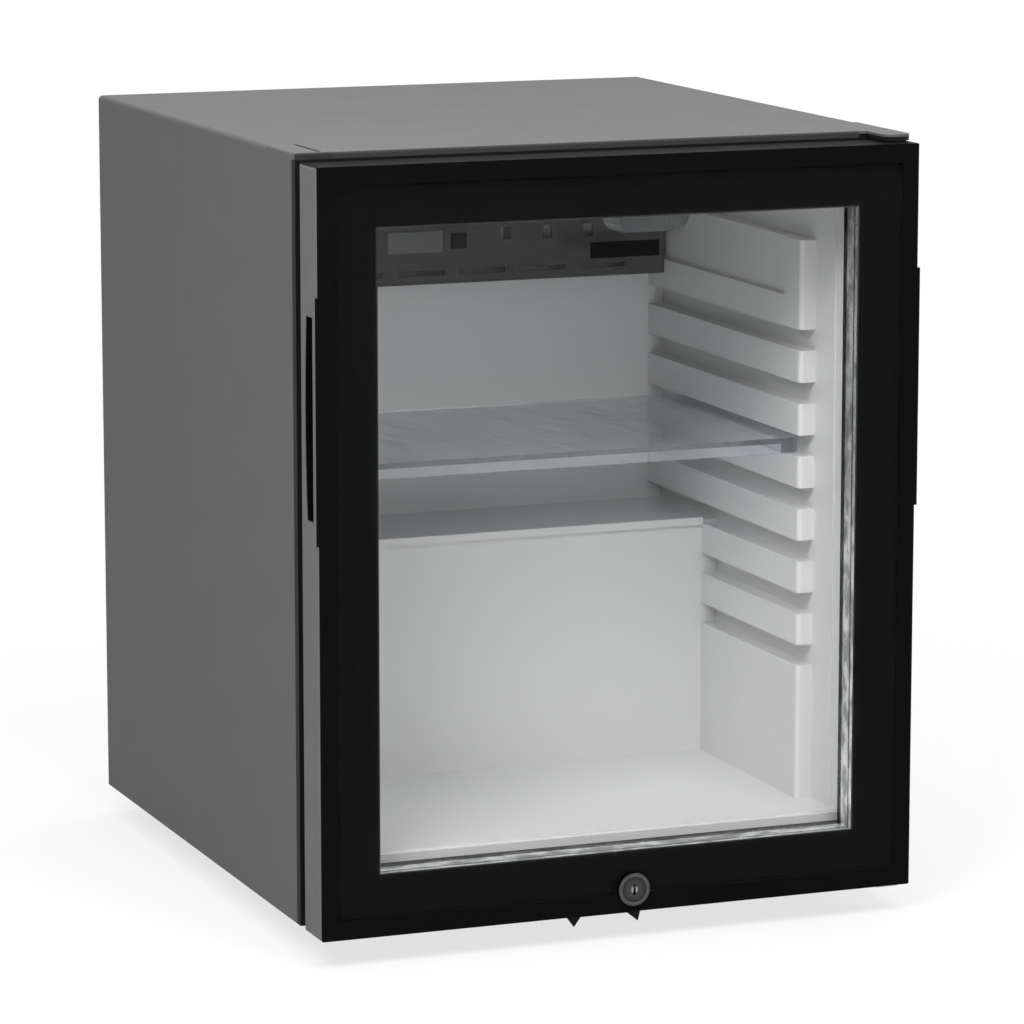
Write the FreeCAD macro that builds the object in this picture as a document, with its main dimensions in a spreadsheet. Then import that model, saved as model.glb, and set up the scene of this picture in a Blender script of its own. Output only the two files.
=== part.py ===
import FreeCAD, Part
import os
import Sketcher

# A small refrigerator with a glass door, as found in hotel rooms.
# X runs to the right, Y to the back and Z up. The origin is on the floor,
# below the middle of the whole object. All sizes are in millimetres.

document = FreeCAD.newDocument("glass_door_refrigerator")
sheet = document.addObject("Spreadsheet::Sheet", "Sizes")
sheet_rows = []
sub_parts = []
cuts = []

FULL_TURN = 360
NEAR = 0.01
ALONG_SHARE = 0.99


# Sizes

class Length:
    """A size: its number, and the expression that follows the spreadsheet."""

    def __init__(self, number, text):
        self.number = number
        self.text = text

    def __add__(self, other):
        return Length(self.number + number_of(other), f"({self.text} + {text_of(other)})")

    def __radd__(self, other):
        return Length(number_of(other) + self.number, f"({text_of(other)} + {self.text})")

    def __sub__(self, other):
        return Length(self.number - number_of(other), f"({self.text} - {text_of(other)})")

    def __rsub__(self, other):
        return Length(number_of(other) - self.number, f"({text_of(other)} - {self.text})")

    def __mul__(self, other):
        return Length(self.number * number_of(other), f"({self.text} * {text_of(other)})")

    __rmul__ = __mul__

    def __truediv__(self, other):
        return Length(self.number / number_of(other), f"({self.text} / {text_of(other)})")

    def __neg__(self):
        return Length(-self.number, f"(0 - {self.text})")


def number_of(value):
    return value.number if isinstance(value, Length) else float(value)


def text_of(value):
    return value.text if isinstance(value, Length) else f"{value:.6f}"


def size(alias, number):
    """Write a driving dimension in the next row of the spreadsheet."""
    sheet_rows.append(alias)
    cell = f"A{len(sheet_rows)}"
    sheet.set(cell, str(number))
    sheet.setAlias(cell, alias)
    return Length(float(number), f"Sizes.{alias}")


# Sketches: an outline is a function that draws itself into a sketch.

def place(sketch, index, point, corner):
    """Fix one point of a sketch element by two distances from the origin."""
    for kind, value in zip(("DistanceX", "DistanceY"), corner):
        constraint = sketch.addConstraint(Sketcher.Constraint(kind, index, point, number_of(value)))
        sketch.setExpression(f"Constraints[{constraint}]", text_of(value))


def polygon(*corners):
    def draw(sketch):
        first = sketch.GeometryCount
        count = len(corners)
        vectors = [FreeCAD.Vector(number_of(u), number_of(v), 0) for u, v in corners]
        for start, end in zip(vectors, vectors[1:] + vectors[:1]):
            sketch.addGeometry(Part.LineSegment(start, end))
        for side in range(count):
            following = first + (side + 1) % count
            sketch.addConstraint(Sketcher.Constraint("Coincident", first + side, 2, following, 1))
        for side, corner in enumerate(corners):
            place(sketch, first + side, 1, corner)
    return draw


def rectangle(left_u, low_v, right_u, high_v):
    return polygon((left_u, low_v), (right_u, low_v), (right_u, high_v), (left_u, high_v))


def circle(u, v, radius):
    def draw(sketch):
        centre = FreeCAD.Vector(number_of(u), number_of(v), 0)
        normal = FreeCAD.Vector(0, 0, 1)
        index = sketch.addGeometry(Part.Circle(centre, normal, number_of(radius)))
        place(sketch, index, 3, (u, v))
        constraint = sketch.addConstraint(Sketcher.Constraint("Radius", index, number_of(radius)))
        sketch.setExpression(f"Constraints[{constraint}]", text_of(radius))
    return draw


def bow(chord_u, low_v, high_v, rise):
    """A straight chord along v, closed by an arc that stands out by the rise along u."""
    def draw(sketch):
        low = FreeCAD.Vector(number_of(chord_u), number_of(low_v), 0)
        high = FreeCAD.Vector(number_of(chord_u), number_of(high_v), 0)
        summit = (low + high) / 2 + FreeCAD.Vector(number_of(rise), 0, 0)
        chord = sketch.addGeometry(Part.LineSegment(low, high))
        arc = sketch.addGeometry(Part.Arc(low, summit, high))
        starts_low = sketch.Geometry[arc].StartPoint.distanceToPoint(low) < summit.distanceToPoint(low)
        ends = (1, 2) if starts_low else (2, 1)
        sketch.addConstraint(Sketcher.Constraint("Coincident", arc, ends[0], chord, 1))
        sketch.addConstraint(Sketcher.Constraint("Coincident", arc, ends[1], chord, 2))
        place(sketch, chord, 1, (chord_u, low_v))
        place(sketch, chord, 2, (chord_u, high_v))
        half = (high_v - low_v) / 2
        height = rise if number_of(rise) > 0 else -rise
        radius = (half * half + height * height) / (height * 2)
        constraint = sketch.addConstraint(Sketcher.Constraint("Radius", arc, radius.number))
        sketch.setExpression(f"Constraints[{constraint}]", radius.text)
    return draw


# Bodies and their features

def new_body(label):
    body = document.addObject("PartDesign::Body", label)
    body.Label = label
    sub_parts.append(body)
    return body


PLANE_ROLES = {"XY": "XY_Plane", "XZ": "XZ_Plane", "YZ": "YZ_Plane"}


def new_sketch(body, plane, start, outlines):
    """A sketch that lies at a place along the axis square to its plane."""
    sketch = body.newObject("Sketcher::SketchObject", f"{body.Name}_sketch")
    planes = [item for item in body.Origin.OriginFeatures if item.Role == PLANE_ROLES[plane]]
    sketch.AttachmentSupport = [(planes[0], "")]
    sketch.MapMode = "FlatFace"
    offset = -start if plane == "XZ" else start
    sketch.setExpression("AttachmentOffset.Base.z", text_of(offset))
    for draw in outlines:
        draw(sketch)
    return sketch


def pad(body, plane, start, end, *outlines):
    """Add material between two places along the axis square to the plane."""
    feature = body.newObject("PartDesign::Pad", f"{body.Name}_pad")
    feature.Profile = new_sketch(body, plane, start, outlines)
    feature.Reversed = plane == "XZ"
    feature.setExpression("Length", (end - start).text)
    return feature


def cut(body, plane, start, end, *outlines):
    """Take material away between two places along the axis square to the plane."""
    feature = body.newObject("PartDesign::Pocket", f"{body.Name}_pocket")
    feature.Profile = new_sketch(body, plane, start, outlines)
    feature.Reversed = plane != "XZ"
    feature.setExpression("Length", (end - start).text)
    cuts.append(feature)
    return feature


def revolve(body, plane, start, axis_u, outline_of):
    """Turn an outline round an upright axis of its plane."""
    feature = body.newObject("PartDesign::Revolution", f"{body.Name}_turn")
    sketch = new_sketch(body, plane, start, [outline_of])
    sketch.setExpression("AttachmentOffset.Base.x", text_of(axis_u))
    feature.Profile = sketch
    feature.ReferenceAxis = (sketch, ["V_Axis"])
    feature.Angle = FULL_TURN
    return feature


def repeat(body, feature, axis, spacing, count):
    """Repeat a feature in a row along an axis of its sketch."""
    pattern = body.newObject("PartDesign::LinearPattern", f"{body.Name}_row")
    pattern.Originals = [feature]
    pattern.Direction = (feature.Profile[0], [axis])
    pattern.setExpression("Length", text_of(spacing * (count - 1)))
    pattern.Occurrences = count
    body.Tip = pattern
    return pattern


def same(first, second):
    return abs(number_of(first) - number_of(second)) < NEAR


def edges_where(shape, test):
    """Names of the edges whose middle point and direction pass a test."""
    names = []
    for number, edge in enumerate(shape.Edges, start=1):
        if not isinstance(edge.Curve, (Part.Line, Part.LineSegment)):
            continue
        first, last = edge.Vertexes[0].Point, edge.Vertexes[-1].Point
        direction = (last - first).normalize()
        if test((first + last) / 2, direction):
            names.append(f"Edge{number}")
    return names


def rims_of(body):
    """Names of the round edges of a body."""
    document.recompute()
    edges = enumerate(body.Tip.Shape.Edges, start=1)
    return [f"Edge{number}" for number, edge in edges if isinstance(edge.Curve, Part.Circle)]


def fillet(body, radius, names):
    base = body.Tip
    feature = body.newObject("PartDesign::Fillet", f"{body.Name}_fillet")
    feature.Base = (base, names)
    feature.setExpression("Radius", text_of(radius))
    body.Tip = feature
    return feature


def round_edges(body, radius, test):
    """Fillet the straight edges that pass the test."""
    document.recompute()
    return fillet(body, radius, edges_where(body.Tip.Shape, test))


def upright(direction):
    return abs(direction.z) > ALONG_SHARE


def lengthwise(direction):
    return abs(direction.y) > ALONG_SHARE


def crosswise(direction):
    return abs(direction.x) > ALONG_SHARE


# Bent tubes: straight runs joined by tangent arcs

def tube_path(points, bend):
    """Edges of a route with an arc of the bend radius at each inner point."""
    edges = []
    start = points[0]
    for before, corner, after in zip(points, points[1:], points[2:]):
        incoming = (corner - before).normalize()
        outgoing = (after - corner).normalize()
        cut_back = bend * tangent_of_half(incoming, outgoing)
        arc_start = corner - incoming * cut_back
        arc_end = corner + outgoing * cut_back
        inward = (outgoing - incoming).normalize()
        reach = (bend * bend + cut_back * cut_back) ** 0.5 - bend
        arc_middle = corner + inward * reach
        edges.append(Part.LineSegment(start, arc_start).toShape())
        edges.append(Part.Arc(arc_start, arc_middle, arc_end).toShape())
        start = arc_end
    edges.append(Part.LineSegment(start, points[-1]).toShape())
    return Part.Wire(edges)


def tangent_of_half(incoming, outgoing):
    """Tangent of half the angle between two unit directions."""
    cosine = incoming.dot(outgoing)
    return ((1 - cosine) / (1 + cosine)) ** 0.5


def bent_tube(label, route, radius, bend, clear_of=None):
    """A round tube along a route of (x, y, z) places, trimmed by what it runs into."""
    points = [FreeCAD.Vector(*[number_of(value) for value in place_of]) for place_of in route]
    path = tube_path(points, number_of(bend))
    direction = (points[1] - points[0]).normalize()
    ring = Part.Wire([Part.Circle(points[0], direction, number_of(radius)).toShape()])
    shape = path.makePipeShell([ring], True, False)
    if clear_of is not None:
        shape = shape.cut(clear_of.Shape)
    tube = document.addObject("Part::Feature", label)
    tube.Label = label
    tube.Shape = shape.Solids[0]
    sub_parts.append(tube)
    return tube


# Overall sizes of the cabinet
cabinet_width = size("cabinet_width", 402)
cabinet_depth = size("cabinet_depth", 414)
cabinet_height = size("cabinet_height", 483)
foot_height = size("foot_height", 20)
sheet_steel = size("sheet_steel", 1)
shell_round = size("shell_round", 3)
overrun = size("overrun", 2)

# Insulated walls and the room inside
side_wall = size("side_wall", 33)
floor_wall = size("floor_wall", 41)
roof_wall = size("roof_wall", 37)
liner_wall = size("liner_wall", 2)
liner_flange = size("liner_flange", 8)
niche_depth = size("niche_depth", 74)
ledge_depth = size("ledge_depth", 95)
ledge_height = size("ledge_height", 160)
back_wall = size("back_wall", 45)
ledge_wall = size("ledge_wall", 35)
mouth_depth = size("mouth_depth", 15)
mouth_step = size("mouth_step", 1)
room_round = size("room_round", 6)
sill_height = size("sill_height", 1.5)
sill_depth = size("sill_depth", 8)
sill_setback = size("sill_setback", 2)
bead_reach = size("bead_reach", 3)
bead_drop = size("bead_drop", 3)
bead_rise = size("bead_rise", 2)

# Shelf supports moulded in the side walls of the liner
rib_reach = size("rib_reach", 11)
rib_setback = size("rib_setback", 44)
rib_round = size("rib_round", 3)
low_block_height = size("low_block_height", 88.7)
slot_height = size("slot_height", 13.8)
high_block_height = size("high_block_height", 58)
high_block_drop = size("high_block_drop", 36.9)
recess_depth = size("recess_depth", 3)
recess_setback = size("recess_setback", 69)
recess_height = size("recess_height", 38)
SLOT_COUNT = 7

# Trim along the top front edge, with a cap at each end
trim_depth = size("trim_depth", 14)
cap_width = size("cap_width", 24)
cap_depth = size("cap_depth", 55)
cap_skin = size("cap_skin", 1.5)
cap_slit_width = size("cap_slit_width", 2.5)
cap_slit_deep = size("cap_slit_deep", 2.4)
cap_slit_inset = size("cap_slit_inset", 5)
hinge_steel = size("hinge_steel", 2.5)

# Door
door_gap = size("door_gap", 9)
door_thickness = size("door_thickness", 30)
door_drop = size("door_drop", 1)
door_step = size("door_step", 4.7)
door_round = size("door_round", 2)
bezel_width = size("bezel_width", 12)
window_side = size("window_side", 40.5)
window_end = size("window_end", 39)
front_pane = size("front_pane", 4)
pane_recess = size("pane_recess", 0.5)
print_coat = size("print_coat", 0.4)
print_gap = size("print_gap", 0.05)
rear_pane = size("rear_pane", 3)
rear_pane_overlap = size("rear_pane_overlap", 10)
spacer_wall = size("spacer_wall", 3)
retainer_lip = size("retainer_lip", 1.2)
retainer_lap = size("retainer_lap", 2)
seat_gap = size("seat_gap", 0.3)
gasket_width = size("gasket_width", 12.5)
gasket_inset = size("gasket_inset", 4.5)
gasket_fold = size("gasket_fold", 3)
badge_width = size("badge_width", 46)
badge_height = size("badge_height", 10)
badge_drop = size("badge_drop", 14)
badge_plate = size("badge_plate", 0.5)

# Finger grips in both sides of the door
grip_drop = size("grip_drop", 79)
grip_length = size("grip_length", 152)
grip_lip = size("grip_lip", 1.5)
grip_lip_depth = size("grip_lip_depth", 5.5)
grip_pocket_inset = size("grip_pocket_inset", 6.2)
grip_pocket_length = size("grip_pocket_length", 126)
grip_pocket_straight = size("grip_pocket_straight", 14.6)
grip_pocket_rise = size("grip_pocket_rise", 2.8)
grip_pocket_depth = size("grip_pocket_depth", 13)

# Hinges
hinge_inset = size("hinge_inset", 10.5)
hinge_setback = size("hinge_setback", 20)
pin_radius = size("pin_radius", 3)
pin_length = size("pin_length", 13)
pin_clearance = size("pin_clearance", 0.05)
bush_radius = size("bush_radius", 5.5)
bush_flange = size("bush_flange", 0.6)
bush_depth = size("bush_depth", 16)
nose_length = size("nose_length", 28)
nose_width = size("nose_width", 19)
nose_round = size("nose_round", 7)
low_hinge_reach = size("low_hinge_reach", 42)
joggle_run = size("joggle_run", 4)
screw_radius = size("screw_radius", 2)
screw_head_radius = size("screw_head_radius", 4)
screw_head = size("screw_head", 1.4)
screw_length = size("screw_length", 10)
LOW_SCREW_SHARES = (0.32, 0.74)

# Lock in the lower rail of the door, and its strike below the cabinet
lock_offset = size("lock_offset", 7)
lock_rise = size("lock_rise", 15)
lock_proud = size("lock_proud", 3)
lock_face_radius = size("lock_face_radius", 10.6)
lock_barrel_radius = size("lock_barrel_radius", 8)
lock_boss_radius = size("lock_boss_radius", 13)
plug_radius = size("plug_radius", 5.5)
plug_clearance = size("plug_clearance", 0.05)
keyway_width = size("keyway_width", 1.6)
keyway_length = size("keyway_length", 7)
keyway_depth = size("keyway_depth", 6)
nut_radius = size("nut_radius", 10.4)
nut_thickness = size("nut_thickness", 2.5)
cam_gap = size("cam_gap", 0.3)
cam_thickness = size("cam_thickness", 2)
cam_width = size("cam_width", 12)
cam_length = size("cam_length", 22)
cam_spigot = size("cam_spigot", 3.5)
strike_width = size("strike_width", 50)
strike_steel = size("strike_steel", 1.5)
strike_reach = size("strike_reach", 30)
strike_front = size("strike_front", 8.6)
strike_skirt = size("strike_skirt", 10)
strike_ear = size("strike_ear", 6)
strike_slot_left = size("strike_slot_left", 20)
strike_slot_right = size("strike_slot_right", 8)

# Shelf
SHELF_SLOT = 4
shelf_clearance = size("shelf_clearance", 1.5)
shelf_setback = size("shelf_setback", 60)
shelf_rear_gap = size("shelf_rear_gap", 35)
shelf_plate = size("shelf_plate", 4)
shelf_runner = size("shelf_runner", 10)
shelf_apron = size("shelf_apron", 3)
shelf_round = size("shelf_round", 9)

# Cooling cover, evaporator and lights inside the room
cover_depth = size("cover_depth", 30)
cover_height = size("cover_height", 84)
cover_side_gap = size("cover_side_gap", 0.8)
cover_skin = size("cover_skin", 2)
cover_lip = size("cover_lip", 6)
lens_width = size("lens_width", 40)
lens_height = size("lens_height", 15)
lens_right = size("lens_right", -6)
panel_row = size("panel_row", 55)
button_size = size("button_size", 10.4)
button_left = size("button_left", 0)
button_clearance = size("button_clearance", 0.3)
button_proud = size("button_proud", 2.5)
button_travel = size("button_travel", 1.5)
fitting_gap = size("fitting_gap", 0.3)
vent_width = size("vent_width", 6.5)
vent_height = size("vent_height", 8.5)
vent_left = size("vent_left", 36.5)
vent_spacing = size("vent_spacing", 30)
louvre_width = size("louvre_width", 34)
louvre_height = size("louvre_height", 3.5)
louvre_spacing = size("louvre_spacing", 44)
LOUVRE_COUNT = 6
VENT_COUNT = 3
board_thickness = size("board_thickness", 1.6)
evaporator_width = size("evaporator_width", 220)
evaporator_height = size("evaporator_height", 56)
evaporator_base = size("evaporator_base", 4)
fin_depth = size("fin_depth", 15)
fin_thickness = size("fin_thickness", 1.6)
FIN_COUNT = 17
lamp_left = size("lamp_left", 18)
lamp_width = size("lamp_width", 50)
lamp_setback = size("lamp_setback", 18)
lamp_depth = size("lamp_depth", 28)
lamp_base = size("lamp_base", 14)
lamp_lens = size("lamp_lens", 9)
lamp_taper = size("lamp_taper", 5)

# Feet and base
foot_radius = size("foot_radius", 12)
foot_flange_radius = size("foot_flange_radius", 15)
foot_flange = size("foot_flange", 3)
foot_inset_side = size("foot_inset_side", 55)
foot_inset_front = size("foot_inset_front", 78)
foot_inset_back = size("foot_inset_back", 60)
base_vent_length = size("base_vent_length", 60)
base_vent_setback = size("base_vent_setback", 72)
base_vent_width = size("base_vent_width", 6)
base_vent_spacing = size("base_vent_spacing", 13)
BASE_VENT_COUNT = 5
hem_width = size("hem_width", 12)

# Absorption cooling unit in the open back
strap_setback = size("strap_setback", 9)
strap_width = size("strap_width", 16)
strap_steel = size("strap_steel", 1.5)
upper_strap_drop = size("upper_strap_drop", 163)
lower_strap_height = size("lower_strap_height", 50)
pipe_radius = size("pipe_radius", 7)
pipe_bend = size("pipe_bend", 16.5)
coil_left_inset = size("coil_left_inset", 14)
coil_right_inset = size("coil_right_inset", 91)
coil_drop = size("coil_drop", 187)
coil_low = size("coil_low", 144)
coil_straight = size("coil_straight", 1)
COIL_RUNS = 5
vessel_radius = size("vessel_radius", 30)
vessel_gap = size("vessel_gap", 20)
vessel_right_inset = size("vessel_right_inset", 71)
vessel_dome = size("vessel_dome", 8)
return_radius = size("return_radius", 5)
boiler_radius = size("boiler_radius", 30)
boiler_inset = size("boiler_inset", 51)
boiler_low = size("boiler_low", 45)
boiler_drop = size("boiler_drop", 153)
boiler_round = size("boiler_round", 4)
heater_radius = size("heater_radius", 7)
heater_length = size("heater_length", 18)
condenser_drop = size("condenser_drop", 38)
condenser_end_inset = size("condenser_end_inset", 51)
condenser_fin_size = size("condenser_fin_size", 44)
condenser_fin_steel = size("condenser_fin_steel", 0.9)
condenser_fin_left_inset = size("condenser_fin_left_inset", 96)
condenser_fin_right_inset = size("condenser_fin_right_inset", 98)
CONDENSER_FIN_COUNT = 17
port_inset = size("port_inset", 23)
port_width = size("port_width", 90)
port_drop = size("port_drop", 67)
port_height = size("port_height", 64)
port_plate = size("port_plate", 3)
feed_drop = size("feed_drop", 87)
return_drop = size("return_drop", 111)
control_box_width = size("control_box_width", 48)
control_box_depth = size("control_box_depth", 50)
control_box_height = size("control_box_height", 105)
inlet_width = size("inlet_width", 28)
inlet_height = size("inlet_height", 22)
inlet_proud = size("inlet_proud", 4)
inlet_well = size("inlet_well", 3)
inlet_wall = size("inlet_wall", 3)
drain_radius = size("drain_radius", 5)
drain_bore = size("drain_bore", 3.5)
drain_flange = size("drain_flange", 1)
drain_offset = size("drain_offset", -80)
drain_rear_gap = size("drain_rear_gap", 13)
drain_end = size("drain_end", 50)
tray_inset = size("tray_inset", 71)
tray_width = size("tray_width", 190)
tray_gap = size("tray_gap", 5)
tray_depth = size("tray_depth", 92)
tray_height = size("tray_height", 36)
tray_wall = size("tray_wall", 2)

# Main planes
left = -cabinet_width / 2
right = cabinet_width / 2
front_reach = door_gap + door_thickness + lock_proud
front = (front_reach - cabinet_depth) / 2
back = front + cabinet_depth
bottom = foot_height
top = bottom + cabinet_height
room_right = right - side_wall
room_left = -room_right
room_floor = bottom + floor_wall
room_top = top - roof_wall
niche_upper = back - niche_depth
room_back = niche_upper - back_wall
ledge_front = room_back - ledge_depth
ledge_top = room_floor + ledge_height
niche_lower = ledge_front + ledge_wall
niche_top = ledge_top - ledge_wall
block_top = room_top - high_block_drop
low_slot = room_floor + low_block_height
high_slot = block_top - high_block_height - slot_height
slot_spacing = (high_slot - low_slot) / (SLOT_COUNT - 1)
trim_thickness = hinge_steel + cap_skin
door_front = front - door_gap - door_thickness
door_back = front - door_gap
door_low = bottom - door_drop
door_high = top - door_step
window_right = right - window_side
window_left = -window_right
window_low = door_low + window_end
window_high = door_high - window_end
pane_front = door_front + pane_recess
pane_back = pane_front + front_pane
print_back = pane_back + print_coat
hinge_x = right - hinge_inset
hinge_y = front - hinge_setback
unit_back = back - strap_setback - seat_gap
boiler_x = left + boiler_inset
boiler_y = unit_back - boiler_radius
boiler_foot = bottom + boiler_low
boiler_top = top - boiler_drop
vessel_left = boiler_x + boiler_radius + vessel_gap
vessel_right = right - vessel_right_inset
vessel_z = bottom + lower_strap_height
lock_x = lock_offset
lock_z = door_low + lock_rise
lock_front = door_front - lock_proud


# Cabinet

def outer_shell():
    """Folded steel wrap: both sides and the top, with its front and rear returns."""
    body = new_body("outer_shell")
    inner = right - sheet_steel
    under = top - sheet_steel
    arch = polygon((left, bottom), (-inner, bottom), (-inner, under), (inner, under),
                   (inner, bottom), (right, bottom), (right, top), (left, top))
    pad(body, "XZ", front, back, arch)
    opening = room_right + liner_flange
    high = room_top + liner_flange
    front_return = polygon((left, bottom), (-opening, bottom), (-opening, high), (opening, high),
                           (opening, bottom), (right, bottom), (right, top), (left, top))
    pad(body, "XZ", front, front + sheet_steel, front_return)
    hem = right - hem_width
    hem_top = top - hem_width
    rear_return = polygon((left, bottom), (-hem, bottom), (-hem, hem_top), (hem, hem_top),
                          (hem, bottom), (right, bottom), (right, top), (left, top))
    pad(body, "XZ", back - sheet_steel, back, rear_return)
    round_edges(body, shell_round, lambda middle, direction: lengthwise(direction)
                and same(middle.z, top) and same(abs(middle.x), right))
    trim_zone(body, top - trim_thickness, top + overrun)


def trim_zone(body, low, high):
    """Clear the place of the top trim and its two end caps."""
    rear = front + trim_depth
    cap_rear = front + cap_depth
    cap_edge = right - cap_width
    ahead = front - overrun
    beyond = right + overrun
    zone = polygon((-beyond, ahead), (beyond, ahead), (beyond, cap_rear), (cap_edge, cap_rear),
                   (cap_edge, rear), (-cap_edge, rear), (-cap_edge, cap_rear), (-beyond, cap_rear))
    cut(body, "XY", low, high, zone)


def base_panel():
    """Steel floor with its upright front return, and air slots below the cooling unit."""
    body = new_body("base_panel")
    inner = right - sheet_steel
    near = front + sheet_steel
    far = back - sheet_steel
    pad(body, "XY", bottom, bottom + sheet_steel, rectangle(-inner, near, inner, far))
    strip_edge = room_right + liner_flange
    strip = rectangle(-strip_edge, bottom, strip_edge, room_floor - liner_flange)
    pad(body, "XZ", front, front + sheet_steel, strip)
    slot_low = back - base_vent_setback
    slot = rectangle(-base_vent_length, slot_low, base_vent_length, slot_low + base_vent_width)
    first = cut(body, "XY", bottom - overrun, bottom + sheet_steel + overrun, slot)
    repeat(body, first, "V_Axis", base_vent_spacing, BASE_VENT_COUNT)


def stepped_profile(inset, ahead, low, high, upper, lower, step):
    """Side view of the insulated body: deep above and shallow below the step."""
    return polygon((front + ahead, low), (lower - inset, low), (lower - inset, step - inset),
                   (upper - inset, step - inset), (upper - inset, high), (front + ahead, high))


def drain_hole():
    return circle(drain_offset, room_back - drain_rear_gap, drain_radius + seat_gap)


def hinge_screw_circles(clearance):
    """The two screws of the top hinge, or their holes."""
    screw_x = right - cap_width / 2
    places = [front + cap_depth * share for share in TOP_SCREW_SHARES]
    return [circle(screw_x, screw_y, screw_radius + clearance) for screw_y in places]


TOP_SCREW_SHARES = (0.3, 0.75)


def rear_wall():
    """Folded steel back of the insulated body, stepped over the lower niche."""
    body = new_body("rear_wall")
    inner = right - sheet_steel
    lower = niche_lower
    upper = niche_upper
    fold = polygon((lower - sheet_steel, bottom + sheet_steel), (lower, bottom + sheet_steel),
                   (lower, niche_top - sheet_steel), (upper, niche_top - sheet_steel),
                   (upper, top - sheet_steel), (upper - sheet_steel, top - sheet_steel),
                   (upper - sheet_steel, niche_top), (lower - sheet_steel, niche_top))
    pad(body, "YZ", -inner, inner, fold)
    cut(body, "XY", niche_top - sheet_steel - overrun, niche_top + overrun, drain_hole())


def insulation():
    """Foam between the steel and the liner."""
    body = new_body("insulation")
    inner = right - sheet_steel
    step = niche_top + sheet_steel
    profile = stepped_profile(sheet_steel, sheet_steel, bottom + sheet_steel, top - sheet_steel,
                              niche_upper, niche_lower, step)
    pad(body, "YZ", -inner, inner, profile)
    room_edge = room_right + liner_wall
    hollow = polygon((front - overrun, room_floor - liner_wall),
                     (ledge_front + liner_wall, room_floor - liner_wall),
                     (ledge_front + liner_wall, ledge_top - liner_wall),
                     (room_back + liner_wall, ledge_top - liner_wall),
                     (room_back + liner_wall, room_top + liner_wall),
                     (front - overrun, room_top + liner_wall))
    cut(body, "YZ", -room_edge, room_edge, hollow)
    trim_zone(body, top - trim_thickness, top)
    cut(body, "XY", niche_top - overrun, ledge_top, drain_hole())
    screw_low = top - trim_thickness - screw_length
    cut(body, "XY", screw_low, top - trim_thickness + overrun, *hinge_screw_circles(seat_gap))


def inner_liner():
    """Vacuum-formed room with a sill and a front flange."""
    body = new_body("inner_liner")
    room_edge = room_right + liner_wall
    step_back = ledge_front + liner_wall
    step_under = ledge_top - liner_wall
    outside = polygon((front, room_floor - liner_wall), (step_back, room_floor - liner_wall),
                      (step_back, step_under), (room_back + liner_wall, step_under),
                      (room_back + liner_wall, room_top + liner_wall),
                      (front, room_top + liner_wall))
    pad(body, "YZ", -room_edge, room_edge, outside)
    flange_edge = room_right + liner_flange
    flange = rectangle(-flange_edge, room_floor - liner_flange, flange_edge, room_top + liner_flange)
    pad(body, "XZ", front, front + sheet_steel, flange)
    hollow = polygon((front - overrun, room_floor), (step_back + overrun, room_floor),
                     (step_back + overrun, step_under - overrun), (room_back, step_under - overrun),
                     (room_back, room_top), (front - overrun, room_top))
    cut(body, "YZ", room_left, room_right, hollow)
    round_edges(body, room_round, lambda middle, direction: lengthwise(direction)
                and same(abs(middle.x), room_right) and same(middle.z, room_top))
    mouth = room_right + mouth_step
    mouth_zone = rectangle(-mouth, room_floor + sill_height, mouth, room_top + mouth_step)
    cut(body, "XZ", front - overrun, front + mouth_depth, mouth_zone)
    sill_front = front + sill_setback
    sill = rectangle(room_left, room_floor - liner_wall / 2, room_right, room_floor + sill_height)
    pad(body, "XZ", sill_front, sill_front + sill_depth, sill)


def liner_step():
    """Step of the liner over the niche, with a bead along its front edge."""
    body = new_body("liner_step")
    step_back = ledge_front + liner_wall
    step_under = ledge_top - liner_wall
    profile = polygon((ledge_front, room_floor), (step_back, room_floor), (step_back, step_under),
                      (room_back, step_under), (room_back, ledge_top), (ledge_front, ledge_top))
    pad(body, "YZ", room_left, room_right, profile)
    bead_edge = room_right - rib_reach - seat_gap
    bead = rectangle(ledge_front - bead_reach, ledge_top - bead_drop, step_back, ledge_top + bead_rise)
    pad(body, "YZ", -bead_edge, bead_edge, bead)
    cut(body, "XY", step_under - overrun, ledge_top + overrun, drain_hole())


def shelf_supports():
    """Blocks moulded on both side walls, with a row of slots between them for the shelf."""
    body = new_body("shelf_supports")
    rib_right = room_right - rib_reach
    rib_front = front + rib_setback
    low_side = polygon((rib_front, room_floor), (ledge_front, room_floor), (ledge_front, ledge_top),
                       (room_back, ledge_top), (room_back, block_top), (rib_front, block_top))
    pad(body, "YZ", rib_right, room_right, low_side)
    pad(body, "YZ", room_left, -rib_right, low_side)
    round_edges(body, rib_round, lambda middle, direction: upright(direction)
                and same(middle.y, rib_front) and same(abs(middle.x), rib_right))
    inside = rib_right - overrun
    beyond = room_right + overrun
    right_slot = rectangle(inside, low_slot, beyond, low_slot + slot_height)
    left_slot = rectangle(-beyond, low_slot, -inside, low_slot + slot_height)
    slots = cut(body, "XZ", rib_front - overrun, room_back + overrun, right_slot, left_slot)
    repeat(body, slots, "V_Axis", slot_spacing, SLOT_COUNT)
    recess_edge = rib_right + recess_depth
    recess_low = block_top - recess_height
    right_recess = rectangle(inside, recess_low, recess_edge, block_top + overrun)
    left_recess = rectangle(-recess_edge, recess_low, -inside, block_top + overrun)
    cut(body, "XZ", front + recess_setback, room_back + overrun, right_recess, left_recess)


def top_trim():
    """Plastic strip along the top front edge."""
    body = new_body("top_trim")
    edge = right - cap_width
    pad(body, "XZ", front, front + trim_depth,
        rectangle(-edge, top - trim_thickness, edge, top))
    round_edges(body, cap_skin, lambda middle, direction: crosswise(direction)
                and same(middle.z, top) and same(middle.y, front))


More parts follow.
